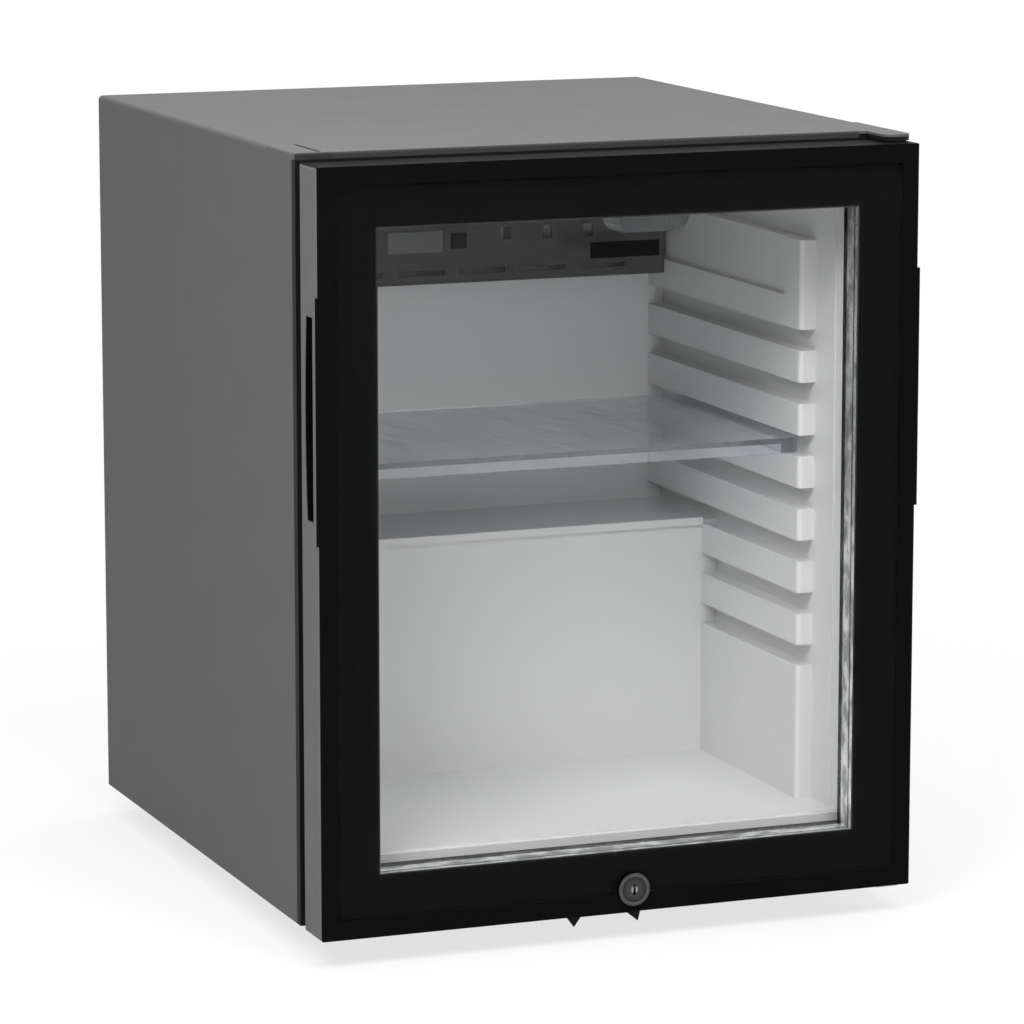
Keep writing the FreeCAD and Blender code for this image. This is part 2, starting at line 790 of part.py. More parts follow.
def blank_cap():
    """Cap with a slit along it, in the hinge place on the left, where the door could also be hung."""
    body = new_body("blank_cap")
    edge = left + cap_width
    rear = front + cap_depth
    pad(body, "XY", top - trim_thickness, top, rectangle(left, front, edge, rear))
    round_edges(body, cap_skin, lambda middle, direction: same(middle.z, top)
                and (same(middle.x, left) or same(middle.y, front)))
    slit_edge = edge - cap_slit_inset
    slit = rectangle(slit_edge - cap_slit_width, front + cap_slit_inset, slit_edge, rear - cap_slit_width)
    cut(body, "XY", top - cap_slit_deep, top + overrun, slit)


def hinge_arm(body, low, high):
    """A plate on the cabinet that runs out in a rounded nose over the door."""
    cap_edge = right - cap_width
    cap_rear = front + cap_depth
    nose_edge = right - nose_width
    nose_front = front - nose_length
    outline = polygon((right, cap_rear), (cap_edge, cap_rear), (cap_edge, front),
                      (nose_edge, front), (nose_edge, nose_front), (right, nose_front))
    pad(body, "XY", low, high, outline)
    round_edges(body, nose_round, lambda middle, direction: upright(direction)
                and same(middle.y, nose_front))


def hinge_cover():
    """Grey cap over the top hinge, flush with the top of the cabinet."""
    body = new_body("hinge_cover")
    hinge_arm(body, top - cap_skin, top)


def top_hinge():
    """Steel arm with the upper pin of the door."""
    body = new_body("top_hinge")
    low = top - trim_thickness
    hinge_arm(body, low, low + hinge_steel)
    pad(body, "XY", low - pin_length, low, circle(hinge_x, hinge_y, pin_radius))
    cut(body, "XY", low - overrun, low + hinge_steel + overrun, *hinge_screw_circles(seat_gap))


def top_hinge_screws():
    """Two countersunk screws that hold the top hinge on the cabinet."""
    body = new_body("top_hinge_screws")
    low = top - trim_thickness
    pad(body, "XY", low - screw_length, low + hinge_steel, *hinge_screw_circles(-pin_clearance))


def bottom_hinge():
    """Joggled steel bracket under the cabinet, with the lower pin of the door."""
    body = new_body("bottom_hinge")
    plate_top = door_low - bush_flange - seat_gap
    plate_low = plate_top - hinge_steel
    rear = front + low_hinge_reach
    bend_back = front - fitting_gap
    bend_front = bend_back - joggle_run
    tip = hinge_y - hinge_inset + cap_skin
    fold = polygon((rear, bottom), (bend_back, bottom), (bend_front, plate_top), (tip, plate_top),
                   (tip, plate_low), (bend_front, plate_low), (bend_back, bottom - hinge_steel),
                   (rear, bottom - hinge_steel))
    pad(body, "YZ", hinge_x - hinge_inset, right - cap_skin, fold)
    round_edges(body, hinge_inset / 2, lambda middle, direction: upright(direction)
                and same(middle.y, tip))
    pin_end = plate_top + pin_length
    pad(body, "XY", plate_low + hinge_steel / 2, pin_end, circle(hinge_x, hinge_y, pin_radius))


def bottom_hinge_screws():
    """Two pan head screws that hold the lower bracket."""
    body = new_body("bottom_hinge_screws")
    under = bottom - hinge_steel
    places = [front + low_hinge_reach * share for share in LOW_SCREW_SHARES]
    heads = [circle(hinge_x, screw_y, screw_head_radius) for screw_y in places]
    pad(body, "XY", under - screw_head, under, *heads)


def feet():
    """Four round plastic feet below the base."""
    body = new_body("feet")
    foot_x = right - foot_inset_side
    rows = (front + foot_inset_front, back - foot_inset_back)
    places = [(side * foot_x, row) for side in (-1, 1) for row in rows]
    pad(body, "XY", bottom - foot_height, bottom, *[circle(u, v, foot_radius) for u, v in places])
    flanges = [circle(u, v, foot_flange_radius) for u, v in places]
    pad(body, "XY", bottom - foot_flange, bottom, *flanges)


def lock_strike():
    """Black steel catch under the front edge; the cam of the lock drops behind its skirt."""
    body = new_body("lock_strike")
    half = strike_width / 2
    skirt_front = front - strike_front
    pad(body, "XY", bottom - strike_steel, bottom,
        rectangle(-half, skirt_front, half, front + strike_reach))
    low = bottom - strike_skirt
    tip = low - strike_ear
    ear = half * EAR_SHARE
    skirt = polygon((-half, bottom), (-half, low), (-half + ear, tip), (-half + ear + ear, low),
                    (half - ear - ear, low), (half - strike_steel, tip), (half, low), (half, bottom))
    pad(body, "XZ", skirt_front, skirt_front + strike_steel, skirt)
    slot_front = skirt_front + strike_steel
    slot_back = front - cam_gap
    slot = rectangle(lock_x - strike_slot_left, slot_front, lock_x + strike_slot_right, slot_back)
    cut(body, "XY", bottom - strike_steel - overrun, bottom + overrun, slot)


EAR_SHARE = 0.18


def strike_screws():
    """Two pan head screws under the catch."""
    body = new_body("strike_screws")
    under = bottom - strike_steel
    screw_y = front + strike_reach / 2
    half = strike_width / 2 * STRIKE_SCREW_SHARE
    heads = [circle(u, screw_y, screw_head_radius) for u in (-half, half)]
    pad(body, "XY", under - screw_head, under, *heads)


STRIKE_SCREW_SHARE = 0.6


# Fittings in the room

def panel_places():
    """Height of the row of fittings on the cooling cover."""
    low = room_top - panel_row - lens_height / 2
    return low, low + lens_height


def cooling_cover():
    """Grey moulded cover over the evaporator, with the places of the lens and button."""
    body = new_body("cooling_cover")
    edge = room_right - rib_reach - cover_side_gap
    face = room_back - cover_depth
    low = room_top - cover_height
    high = room_top - fitting_gap
    pad(body, "XZ", face, room_back, rectangle(-edge, low, edge, high))
    round_edges(body, cover_skin, lambda middle, direction: same(middle.y, face)
                and (same(abs(middle.x), edge) or same(middle.z, low)))
    inner = edge - cover_skin
    cut(body, "XZ", face + cover_skin, room_back + overrun,
        rectangle(-inner, low + cover_skin, inner, high - cover_skin))
    row_low, row_high = panel_places()
    lens = rectangle(lens_right - lens_width, row_low, lens_right, row_high)
    hole = button_size + button_clearance * 2
    button_low = (row_low + row_high - hole) / 2
    button_edge = button_left - button_clearance
    button_hole = rectangle(button_edge, button_low, button_edge + hole, button_low + hole)
    cut(body, "XZ", face - overrun, face + cover_skin + overrun, lens, button_hole)
    vent_low = row_high - vent_height
    vent = rectangle(vent_left, vent_low, vent_left + vent_width, row_high)
    vents = cut(body, "XZ", face - overrun, face + cover_skin + overrun, vent)
    repeat(body, vents, "H_Axis", vent_spacing, VENT_COUNT)
    louvre_left = -(louvre_spacing * (LOUVRE_COUNT - 1) + louvre_width) / 2
    louvre_low = low + cover_lip
    louvre = rectangle(louvre_left, louvre_low, louvre_left + louvre_width, louvre_low + louvre_height)
    louvres = cut(body, "XZ", face - overrun, face + cover_skin + overrun, louvre)
    repeat(body, louvres, "H_Axis", louvre_spacing, LOUVRE_COUNT)


def panel_lens():
    """Frosted lens in the cover."""
    body = new_body("panel_lens")
    row_low, row_high = panel_places()
    face = room_back - cover_depth
    gap = fitting_gap
    pad(body, "XZ", face - fitting_gap, face + cover_skin + fitting_gap,
        rectangle(lens_right - lens_width + gap, row_low + gap, lens_right - gap, row_high - gap))


def lamp_board():
    """Circuit board behind the lens, with the switch that the button works."""
    body = new_body("lamp_board")
    row_low, row_high = panel_places()
    board_front = room_back - cover_depth + cover_skin + fitting_gap * 2
    board_right = button_left + button_size
    board = rectangle(lens_right - lens_width, row_low, board_right, row_high)
    switch_front = board_front + button_travel + fitting_gap
    pad(body, "XZ", switch_front, switch_front + board_thickness, board)
    block = rectangle(lens_right - lens_width, row_low, lens_right, row_high)
    pad(body, "XZ", board_front, switch_front, block)


def light_button():
    """Square push button beside the lens."""
    body = new_body("light_button")
    row_low, row_high = panel_places()
    face = room_back - cover_depth
    low = (row_low + row_high - button_size) / 2
    outline = rectangle(button_left, low, button_left + button_size, low + button_size)
    pad(body, "XZ", face - button_proud, face + cover_skin + fitting_gap * 2, outline)
    round_edges(body, button_clearance * 2, lambda middle, direction: same(middle.y, face - button_proud))


def evaporator():
    """Aluminium block with upright fins, behind the cooling cover."""
    body = new_body("evaporator")
    half = evaporator_width / 2
    low = room_top - cover_height + (cover_height - evaporator_height) / 2
    high = low + evaporator_height
    base_front = room_back - evaporator_base
    base = pad(body, "XZ", base_front, room_back, rectangle(-half, low, half, high))
    fin_front = base_front - fin_depth
    fin = rectangle(-half, low, -half + fin_thickness, high)
    fins = pad(body, "XZ", fin_front, base_front, fin)
    spacing = (evaporator_width - fin_thickness) / (FIN_COUNT - 1)
    repeat(body, fins, "H_Axis", spacing, FIN_COUNT)
    return base


def ceiling_lamp():
    """Lamp under the roof of the room: a base and a clear lens with sloping ends."""
    near = front + lamp_setback
    far = near + lamp_depth
    base_low = room_top - lamp_base
    body = new_body("lamp_holder")
    pad(body, "XZ", near, far, rectangle(lamp_left, base_low, lamp_left + lamp_width, room_top))
    lens = new_body("lamp_lens")
    lens_low = base_low - lamp_lens
    lens_end = lamp_left + lamp_width
    pad(lens, "XZ", near, far, polygon((lamp_left, base_low), (lamp_left + lamp_taper, lens_low),
                                       (lens_end - lamp_taper, lens_low), (lens_end, base_low)))


def shelf():
    """Clear moulded shelf: a plate with a front apron and a runner along each side."""
    body = new_body("shelf")
    half = room_right - shelf_clearance
    near = front + shelf_setback
    far = room_back - shelf_rear_gap
    seat = low_slot + slot_spacing * SHELF_SLOT + seat_gap
    high = seat + shelf_runner
    low = high - shelf_plate
    pad(body, "XY", low, high, rectangle(-half, near, half, far))
    runner = rib_reach + shelf_apron
    pad(body, "XZ", near, far, rectangle(-half, seat, -half + runner, low),
        rectangle(half - runner, seat, half, low))
    pad(body, "XZ", near, near + shelf_apron, rectangle(-half, seat, half, low))
    round_edges(body, shelf_round, lambda middle, direction: upright(direction)
                and same(abs(middle.x), half) and (same(middle.y, near) or same(middle.y, far)))


# Cooling unit in the back

def straps():
    """Two steel straps across the back that carry the cooling unit."""
    strap_front = back - strap_setback
    inner = right - sheet_steel
    for label, middle in (("upper_strap", top - upper_strap_drop), ("lower_strap", vessel_z)):
        body = new_body(label)
        low = middle - strap_width / 2
        pad(body, "XZ", strap_front, strap_front + strap_steel,
            rectangle(-inner, low, inner, low + strap_width))


def absorber_vessel():
    """Round tank with domed ends, low in the back."""
    body = new_body("absorber_vessel")
    pad(body, "YZ", vessel_left, vessel_right,
        circle(unit_back - vessel_radius, vessel_z, vessel_radius))
    fillet(body, vessel_dome, rims_of(body))
    return body


def return_tube():
    """Short level tube from the tank to the boiler."""
    body = new_body("return_tube")
    boiler_side = boiler_x + boiler_radius + seat_gap
    pad(body, "YZ", boiler_side, vessel_left,
        circle(unit_back - vessel_radius, vessel_z, return_radius))


def boiler():
    """Round sheet metal case of the boiler, with the heater in its lower end."""
    case = new_body("boiler_case")
    neck = boiler_radius - boiler_round
    outline = polygon((0, boiler_foot), (neck, boiler_foot), (boiler_radius, boiler_foot + boiler_round),
                      (boiler_radius, boiler_top - boiler_round), (neck, boiler_top), (0, boiler_top))
    revolve(case, "XZ", boiler_y, boiler_x, outline)
    heater = new_body("heater")
    pad(heater, "XY", boiler_foot - heater_length, boiler_foot,
        circle(boiler_x, boiler_y, heater_radius))


def condenser():
    """Tube that rises from the boiler and runs across the back, with pressed fins."""
    tube_z = top - condenser_drop
    end_x = right - condenser_end_inset
    port_face = niche_upper + port_plate
    feed_z = top - feed_drop
    route = ((boiler_x, boiler_y, boiler_top), (boiler_x, boiler_y, tube_z), (end_x, boiler_y, tube_z),
             (end_x, boiler_y, feed_z), (end_x, port_face, feed_z))
    bent_tube("condenser_tube", route, pipe_radius, pipe_bend)
    fins = new_body("condenser_fins")
    half = condenser_fin_size / 2
    first_x = left + condenser_fin_left_inset
    last_x = right - condenser_fin_right_inset
    plate = rectangle(boiler_y - half, tube_z - half, boiler_y + half, tube_z + half)
    hole = circle(boiler_y, tube_z, pipe_radius + seat_gap)
    first = pad(fins, "YZ", first_x, first_x + condenser_fin_steel, plate, hole)
    spacing = (last_x - first_x) / (CONDENSER_FIN_COUNT - 1)
    repeat(fins, first, "N_Axis", spacing, CONDENSER_FIN_COUNT)


def absorber_coil(vessel):
    """Serpentine tube that comes down from the port to the vessel."""
    coil_y = unit_back - pipe_radius
    coil_right = right - coil_right_inset
    coil_left = vessel_left + coil_left_inset
    port_face = niche_upper + port_plate
    start_z = top - return_drop
    route = [(coil_right, port_face, start_z), (coil_right, coil_y, start_z)]
    level = top - coil_drop
    spacing = (level - bottom - coil_low) / (COIL_RUNS - 1)
    sides = (coil_right, coil_left)
    for run in range(COIL_RUNS):
        route.append((sides[run % 2], coil_y, level))
        route.append((sides[(run + 1) % 2], coil_y, level))
        level = level - spacing
    route.append((sides[COIL_RUNS % 2], coil_y, vessel_z))
    document.recompute()
    bent_tube("absorber_coil", route, pipe_radius, (spacing - coil_straight) / 2, vessel)


def port_cover():
    """Plate over the place where the tubes pass through the insulated wall."""
    body = new_body("port_cover")
    edge = right - port_inset
    high = top - port_drop
    pad(body, "XZ", niche_upper, niche_upper + port_plate,
        rectangle(edge - port_width, high - port_height, edge, high))


def control_box():
    """Plastic box of the heater control on the right side, with its power inlet."""
    body = new_body("control_box")
    side = right - sheet_steel
    face = back - strap_setback
    low = top - upper_strap_drop - control_box_height
    near = face - control_box_depth
    inner_edge = side - control_box_width
    pad(body, "XZ", near, face, rectangle(inner_edge, low, side, low + control_box_height))
    round_edges(body, shell_round, lambda middle, direction: upright(direction)
                and same(middle.x, inner_edge))
    inlet = new_body("power_inlet")
    inlet_x = side - control_box_width / 2
    inlet_z = low + control_box_height / 4
    half_width = inlet_width / 2
    half_height = inlet_height / 2
    pad(inlet, "XZ", face, face + inlet_proud,
        rectangle(inlet_x - half_width, inlet_z - half_height, inlet_x + half_width, inlet_z + half_height))
    well_width = half_width - inlet_wall
    well_height = half_height - inlet_wall
    cut(inlet, "XZ", face + inlet_proud - inlet_well, face + inlet_proud + overrun,
        rectangle(inlet_x - well_width, inlet_z - well_height, inlet_x + well_width, inlet_z + well_height))


def drain():
    """Tube for meltwater from the ledge down to the tray on the base."""
    centre = (drain_offset, room_back - drain_rear_gap)
    tube = new_body("drain_tube")
    pad(tube, "XY", bottom + drain_end, ledge_top, circle(*centre, drain_radius),
        circle(*centre, drain_bore))
    pad(tube, "XY", ledge_top, ledge_top + drain_flange,
        circle(*centre, drain_radius + drain_flange * 2), circle(*centre, drain_bore))
    tray = new_body("drip_tray")
    near = niche_lower + tray_gap
    low = bottom + sheet_steel
    tray_left = left + tray_inset
    outer = rectangle(tray_left, near, tray_left + tray_width, near + tray_depth)
    pad(tray, "XY", low, low + tray_height, outer)
    inner = rectangle(tray_left + tray_wall, near + tray_wall,
                      tray_left + tray_width - tray_wall, near + tray_depth - tray_wall)
    cut(tray, "XY", low + tray_wall, low + tray_height + overrun, inner)


# Door

def door_frame():
    """Moulded black frame with the seat of the panes, finger grips and the lock boss."""
    body = new_body("door_frame")
    opening = window_right + spacer_wall + seat_gap
    low = window_low - spacer_wall - seat_gap
    high = window_high + spacer_wall + seat_gap
    pad(body, "XZ", door_front, door_back, rectangle(left, door_low, right, door_high),
        rectangle(-opening, low, opening, high))
    round_edges(body, door_round, lambda middle, direction: same(abs(middle.x), right)
                and (lengthwise(direction) or upright(direction) and same(middle.y, door_front)))
    lips = grip_lips(body)
    pane_edge = right - bezel_width
    pane_low = door_low + bezel_width
    pane_high = door_high - bezel_width
    cut(body, "XZ", door_front - overrun, print_back,
        rectangle(-pane_edge, pane_low, pane_edge, pane_high))
    pad(body, "XZ", door_front, print_back, circle(lock_x, lock_z, lock_boss_radius))
    rear_edge = window_right + rear_pane_overlap + seat_gap
    rear_low = window_low - rear_pane_overlap - seat_gap
    rear_high = window_high + rear_pane_overlap + seat_gap
    cut(body, "XZ", retainer_front(), door_back + overrun,
        rectangle(-rear_edge, rear_low, rear_edge, rear_high))
    retainer = gasket_outer()
    cut(body, "XZ", retainer_front(), door_back + overrun, rectangle(*retainer))
    cut(body, "XZ", door_front - overrun, door_back + overrun,
        circle(lock_x, lock_z, lock_barrel_radius))
    cut(body, "XY", door_high - bush_depth, door_high + overrun, circle(hinge_x, hinge_y, bush_radius))
    cut(body, "XY", door_low - overrun, door_low + bush_depth, circle(hinge_x, hinge_y, bush_radius))
    return lips


def retainer_front():
    """Front face of the rear pane and of the frame that holds it."""
    return door_back - rear_pane - retainer_lip - seat_gap


def gasket_outer():
    """Outer edges of the gasket and of the rear frame, as seen from the front."""
    side = room_right + gasket_inset + gasket_width
    return (-side, room_floor - gasket_inset - gasket_width, side, room_top + gasket_inset + gasket_width)


def grip_lips(body):
    """A raised lip and a finger pocket with a bowed rear edge in each side of the door."""
    lip_high = door_high - grip_drop
    lip_low = lip_high - grip_length
    outline = rectangle(door_front, lip_low, door_front + grip_lip_depth, lip_high)
    pad(body, "YZ", right - overrun, right + grip_lip, outline)
    pad(body, "YZ", left - grip_lip, left + overrun, outline)
    round_edges(body, grip_lip * LIP_ROUND_SHARE, lambda middle, direction: upright(direction)
                and abs(middle.x) > number_of(right + grip_lip) - NEAR)
    pocket_low = (lip_low + lip_high - grip_pocket_length) / 2
    pocket_high = pocket_low + grip_pocket_length
    near = door_front + grip_pocket_inset
    far = near + grip_pocket_straight
    floor = right - grip_pocket_depth
    straight_part = rectangle(near, pocket_low, far, pocket_high)
    curved_part = bow(far, pocket_low, pocket_high, grip_pocket_rise)
    for pocket in (straight_part, curved_part):
        cut(body, "YZ", floor, right + overrun, pocket)
        cut(body, "YZ", left - overrun, -floor, pocket)


LIP_ROUND_SHARE = 0.8


def lock_notch(body, start, end):
    """Round notch in a pane for the lock boss."""
    cut(body, "XZ", start - overrun, end + overrun, circle(lock_x, lock_z, lock_boss_radius + seat_gap))


def front_glass():
    """Toughened front pane."""
    body = new_body("front_glass")
    edge = right - bezel_width - seat_gap
    low = door_low + bezel_width + seat_gap
    high = door_high - bezel_width - seat_gap
    pad(body, "XZ", pane_front, pane_back, rectangle(-edge, low, edge, high))
    lock_notch(body, pane_front, pane_back)


def border_print():
    """Black border on the back of the front pane."""
    body = new_body("border_print")
    edge = right - bezel_width - seat_gap
    low = door_low + bezel_width + seat_gap
    high = door_high - bezel_width - seat_gap
    pad(body, "XZ", pane_back + print_gap, print_back, rectangle(-edge, low, edge, high),
        rectangle(window_left, window_low, window_right, window_high))
    lock_notch(body, pane_back, print_back)


def glass_badge():
    """Small blank plate at the top middle of the window."""
    body = new_body("glass_badge")
    half = badge_width / 2
    high = window_high - badge_drop
    pad(body, "XZ", pane_front - badge_plate, pane_front,
        rectangle(-half, high - badge_height, half, high))


def spacer_bar():
    """Aluminium spacer between the two panes."""
    body = new_body("spacer_bar")
    out = spacer_wall
    pad(body, "XZ", print_back, retainer_front(),
        rectangle(window_left - out, window_low - out, window_right + out, window_high + out),
        rectangle(window_left, window_low, window_right, window_high))


def rear_glass():
    """Inner pane."""
    body = new_body("rear_glass")
    out = rear_pane_overlap
    start = retainer_front()
    pad(body, "XZ", start, start + rear_pane,
        rectangle(window_left - out, window_low - out, window_right + out, window_high + out))


def pane_retainer():
    """Rear frame of the door: holds the inner pane and carries the gasket."""
    body = new_body("pane_retainer")
    side_left, low, side_right, high = gasket_outer()
    gap = seat_gap
    out = rear_pane_overlap + seat_gap
    pane_zone = rectangle(window_left - out, window_low - out, window_right + out, window_high + out)
    outer = rectangle(side_left + gap, low + gap, side_right - gap, high - gap)
    lip_start = retainer_front() + rear_pane + seat_gap
    pad(body, "XZ", retainer_front(), lip_start, outer, pane_zone)
    lap = retainer_lap
    lip = rectangle(window_left - lap, window_low - lap, window_right + lap, window_high + lap)
    pad(body, "XZ", lip_start, door_back, outer, lip)


def gasket():
    """Magnetic seal round the back of the door, with a fold round its outside."""
    body = new_body("gasket")
    outer = gasket_outer()
    inner = (room_left - gasket_inset, room_floor - gasket_inset,
             room_right + gasket_inset, room_top + gasket_inset)
    pad(body, "XZ", door_back + seat_gap, front - seat_gap, rectangle(*outer), rectangle(*inner))
    fold = gasket_fold
    beyond = rectangle(outer[0] - overrun, outer[1] - overrun, outer[2] + overrun, outer[3] + overrun)
    neck = rectangle(outer[0] + fold, outer[1] + fold, outer[2] - fold, outer[3] - fold)
    fold_start = door_back + (door_gap - gasket_fold) / 2
    cut(body, "XZ", fold_start, fold_start + fold, beyond, neck)


def hinge_bushes():
    """Plain plastic bushes in the door for the two hinge pins."""
    bore = pin_radius + pin_clearance
    upper = new_body("upper_bush")
    pad(upper, "XY", door_high - bush_depth, door_high, circle(hinge_x, hinge_y, bush_radius),
        circle(hinge_x, hinge_y, bore))
    lower = new_body("lower_bush")
    pad(lower, "XY", door_low, door_low + bush_depth, circle(hinge_x, hinge_y, bush_radius),
        circle(hinge_x, hinge_y, bore))
    pad(lower, "XY", door_low - bush_flange, door_low,
        circle(hinge_x, hinge_y, bush_radius + bush_flange * 2), circle(hinge_x, hinge_y, bore))


def lock_housing():
    """Fixed barrel of the lock with its round face, and the flat nut behind the door."""
    body = new_body("lock_housing")
    bore = circle(lock_x, lock_z, plug_radius + plug_clearance)
    barrel_end = door_back + nut_thickness
    pad(body, "XZ", door_front, barrel_end, circle(lock_x, lock_z, lock_barrel_radius), bore)
    pad(body, "XZ", lock_front, door_front, circle(lock_x, lock_z, lock_face_radius), bore)
    nut = new_body("lock_nut")
    points = []
    for across, up in NUT_CORNER_SHARES:
        points.append((lock_x + nut_radius * across, lock_z + nut_radius * up))
    pad(nut, "XZ", door_back, door_back + nut_thickness, polygon(*points),
        circle(lock_x, lock_z, lock_barrel_radius))


NUT_CORNER_SHARES = ((1, 0), (0.5, 0.866), (-0.5, 0.866), (-1, 0), (-0.5, -0.866), (0.5, -0.866))


def lock_plug():
    """Turning plug with the keyway in its face, and the cam screwed on its end."""
    body = new_body("lock_plug")
    plug_end = door_back + nut_thickness + cam_gap
    cam_end = plug_end + cam_thickness
    pad(body, "XZ", lock_front, plug_end, circle(lock_x, lock_z, plug_radius))
    pad(body, "XZ", plug_end, cam_end, circle(lock_x, lock_z, cam_spigot))
    half_width = keyway_width / 2
    half_length = keyway_length / 2
    keyway = rectangle(lock_x - half_width, lock_z - half_length, lock_x + half_width, lock_z + half_length)
    cut(body, "XZ", lock_front - overrun, lock_front + keyway_depth, keyway)
    cam = new_body("lock_cam")
    half_cam = cam_width / 2
    tip = lock_x - cam_length
    pad(cam, "XZ", plug_end, cam_end,
        rectangle(tip, lock_z - half_cam, lock_x + half_cam, lock_z + half_cam),
        circle(lock_x, lock_z, cam_spigot))
    round_edges(cam, half_cam * CAM_ROUND_SHARE, lambda middle, direction: lengthwise(direction))
    screw = new_body("cam_screw")
    pad(screw, "XZ", cam_end, cam_end + screw_head, circle(lock_x, lock_z, cam_spigot + cap_skin))


CAM_ROUND_SHARE = 0.6


def build():
    outer_shell()
    base_panel()
    rear_wall()
    insulation()
    inner_liner()
    liner_step()
    shelf_supports()
    top_trim()
    blank_cap()
    hinge_cover()
    top_hinge()
    top_hinge_screws()
    bottom_hinge()
    bottom_hinge_screws()
    feet()
    lock_strike()
    strike_screws()
    cooling_cover()
    panel_lens()
    lamp_board()
    light_button()
    evaporator()
    ceiling_lamp()
    shelf()
    straps()
    vessel = absorber_vessel()
    return_tube()
    boiler()
    condenser()
    absorber_coil(vessel)
    port_cover()
    control_box()
    drain()
    door_frame()
    front_glass()
    border_print()
    glass_badge()
    spacer_bar()
    rear_glass()
    pane_retainer()
    gasket()
    hinge_bushes()
    lock_housing()
    lock_plug()


def check_all():
    """Stop if a feature failed, a cut took nothing away or a shape is not valid."""
    document.recompute()
    for item in document.Objects:
        if "Invalid" in item.State or "Error" in item.State:
            raise RuntimeError(f"{item.Label} failed: {item.State}")
    for feature in cuts:
        before = feature.BaseFeature.Shape.Volume
        if feature.Shape.Volume > before - NEAR:
            raise RuntimeError(f"{feature.Name} cuts nothing")
    for part in sub_parts:
        if part.Shape.isNull() or not part.Shape.isValid():
            raise RuntimeError(f"{part.Label} has no valid shape")


def write_all():
    os.makedirs("parts", exist_ok=True)
    for part in sub_parts:
        part.Shape.exportStep(f"parts/{part.Label}.step")
        box = part.Shape.BoundBox
        print(f"{part.Label}: {len(part.Shape.Solids)} solids, "
              f"{box.XLength:.1f} x {box.YLength:.1f} x {box.ZLength:.1f}")


build()
check_all()
write_all()
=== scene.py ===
import math
import bpy
import bmesh
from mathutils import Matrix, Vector


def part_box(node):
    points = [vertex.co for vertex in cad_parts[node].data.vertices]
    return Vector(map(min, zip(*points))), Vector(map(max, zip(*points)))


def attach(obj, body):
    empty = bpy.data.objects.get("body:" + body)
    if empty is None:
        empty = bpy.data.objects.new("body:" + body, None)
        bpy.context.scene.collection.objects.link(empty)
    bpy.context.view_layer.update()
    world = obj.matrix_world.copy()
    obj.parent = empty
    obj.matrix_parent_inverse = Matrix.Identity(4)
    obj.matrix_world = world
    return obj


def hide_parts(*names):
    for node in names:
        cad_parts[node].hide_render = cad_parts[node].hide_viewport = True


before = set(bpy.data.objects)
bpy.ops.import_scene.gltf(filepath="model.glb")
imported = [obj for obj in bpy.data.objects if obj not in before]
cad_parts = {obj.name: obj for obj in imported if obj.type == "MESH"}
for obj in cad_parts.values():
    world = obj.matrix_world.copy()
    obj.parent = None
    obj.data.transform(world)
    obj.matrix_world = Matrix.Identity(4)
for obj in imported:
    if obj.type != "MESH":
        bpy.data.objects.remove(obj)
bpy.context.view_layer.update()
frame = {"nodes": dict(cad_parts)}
nodes = frame["nodes"]

MM = 0.001

# The camera stands in front of the left corner, a little above the top.
CAMERA_PLACE = (-1.1595, -2.9943, 0.8098)
CAMERA_PITCH = -10.09
CAMERA_YAW = -21.39
CAMERA_LENS = 172.34

# Strength of the even light from all round.
SKY_LIGHT = 0.18


# Materials: small helpers

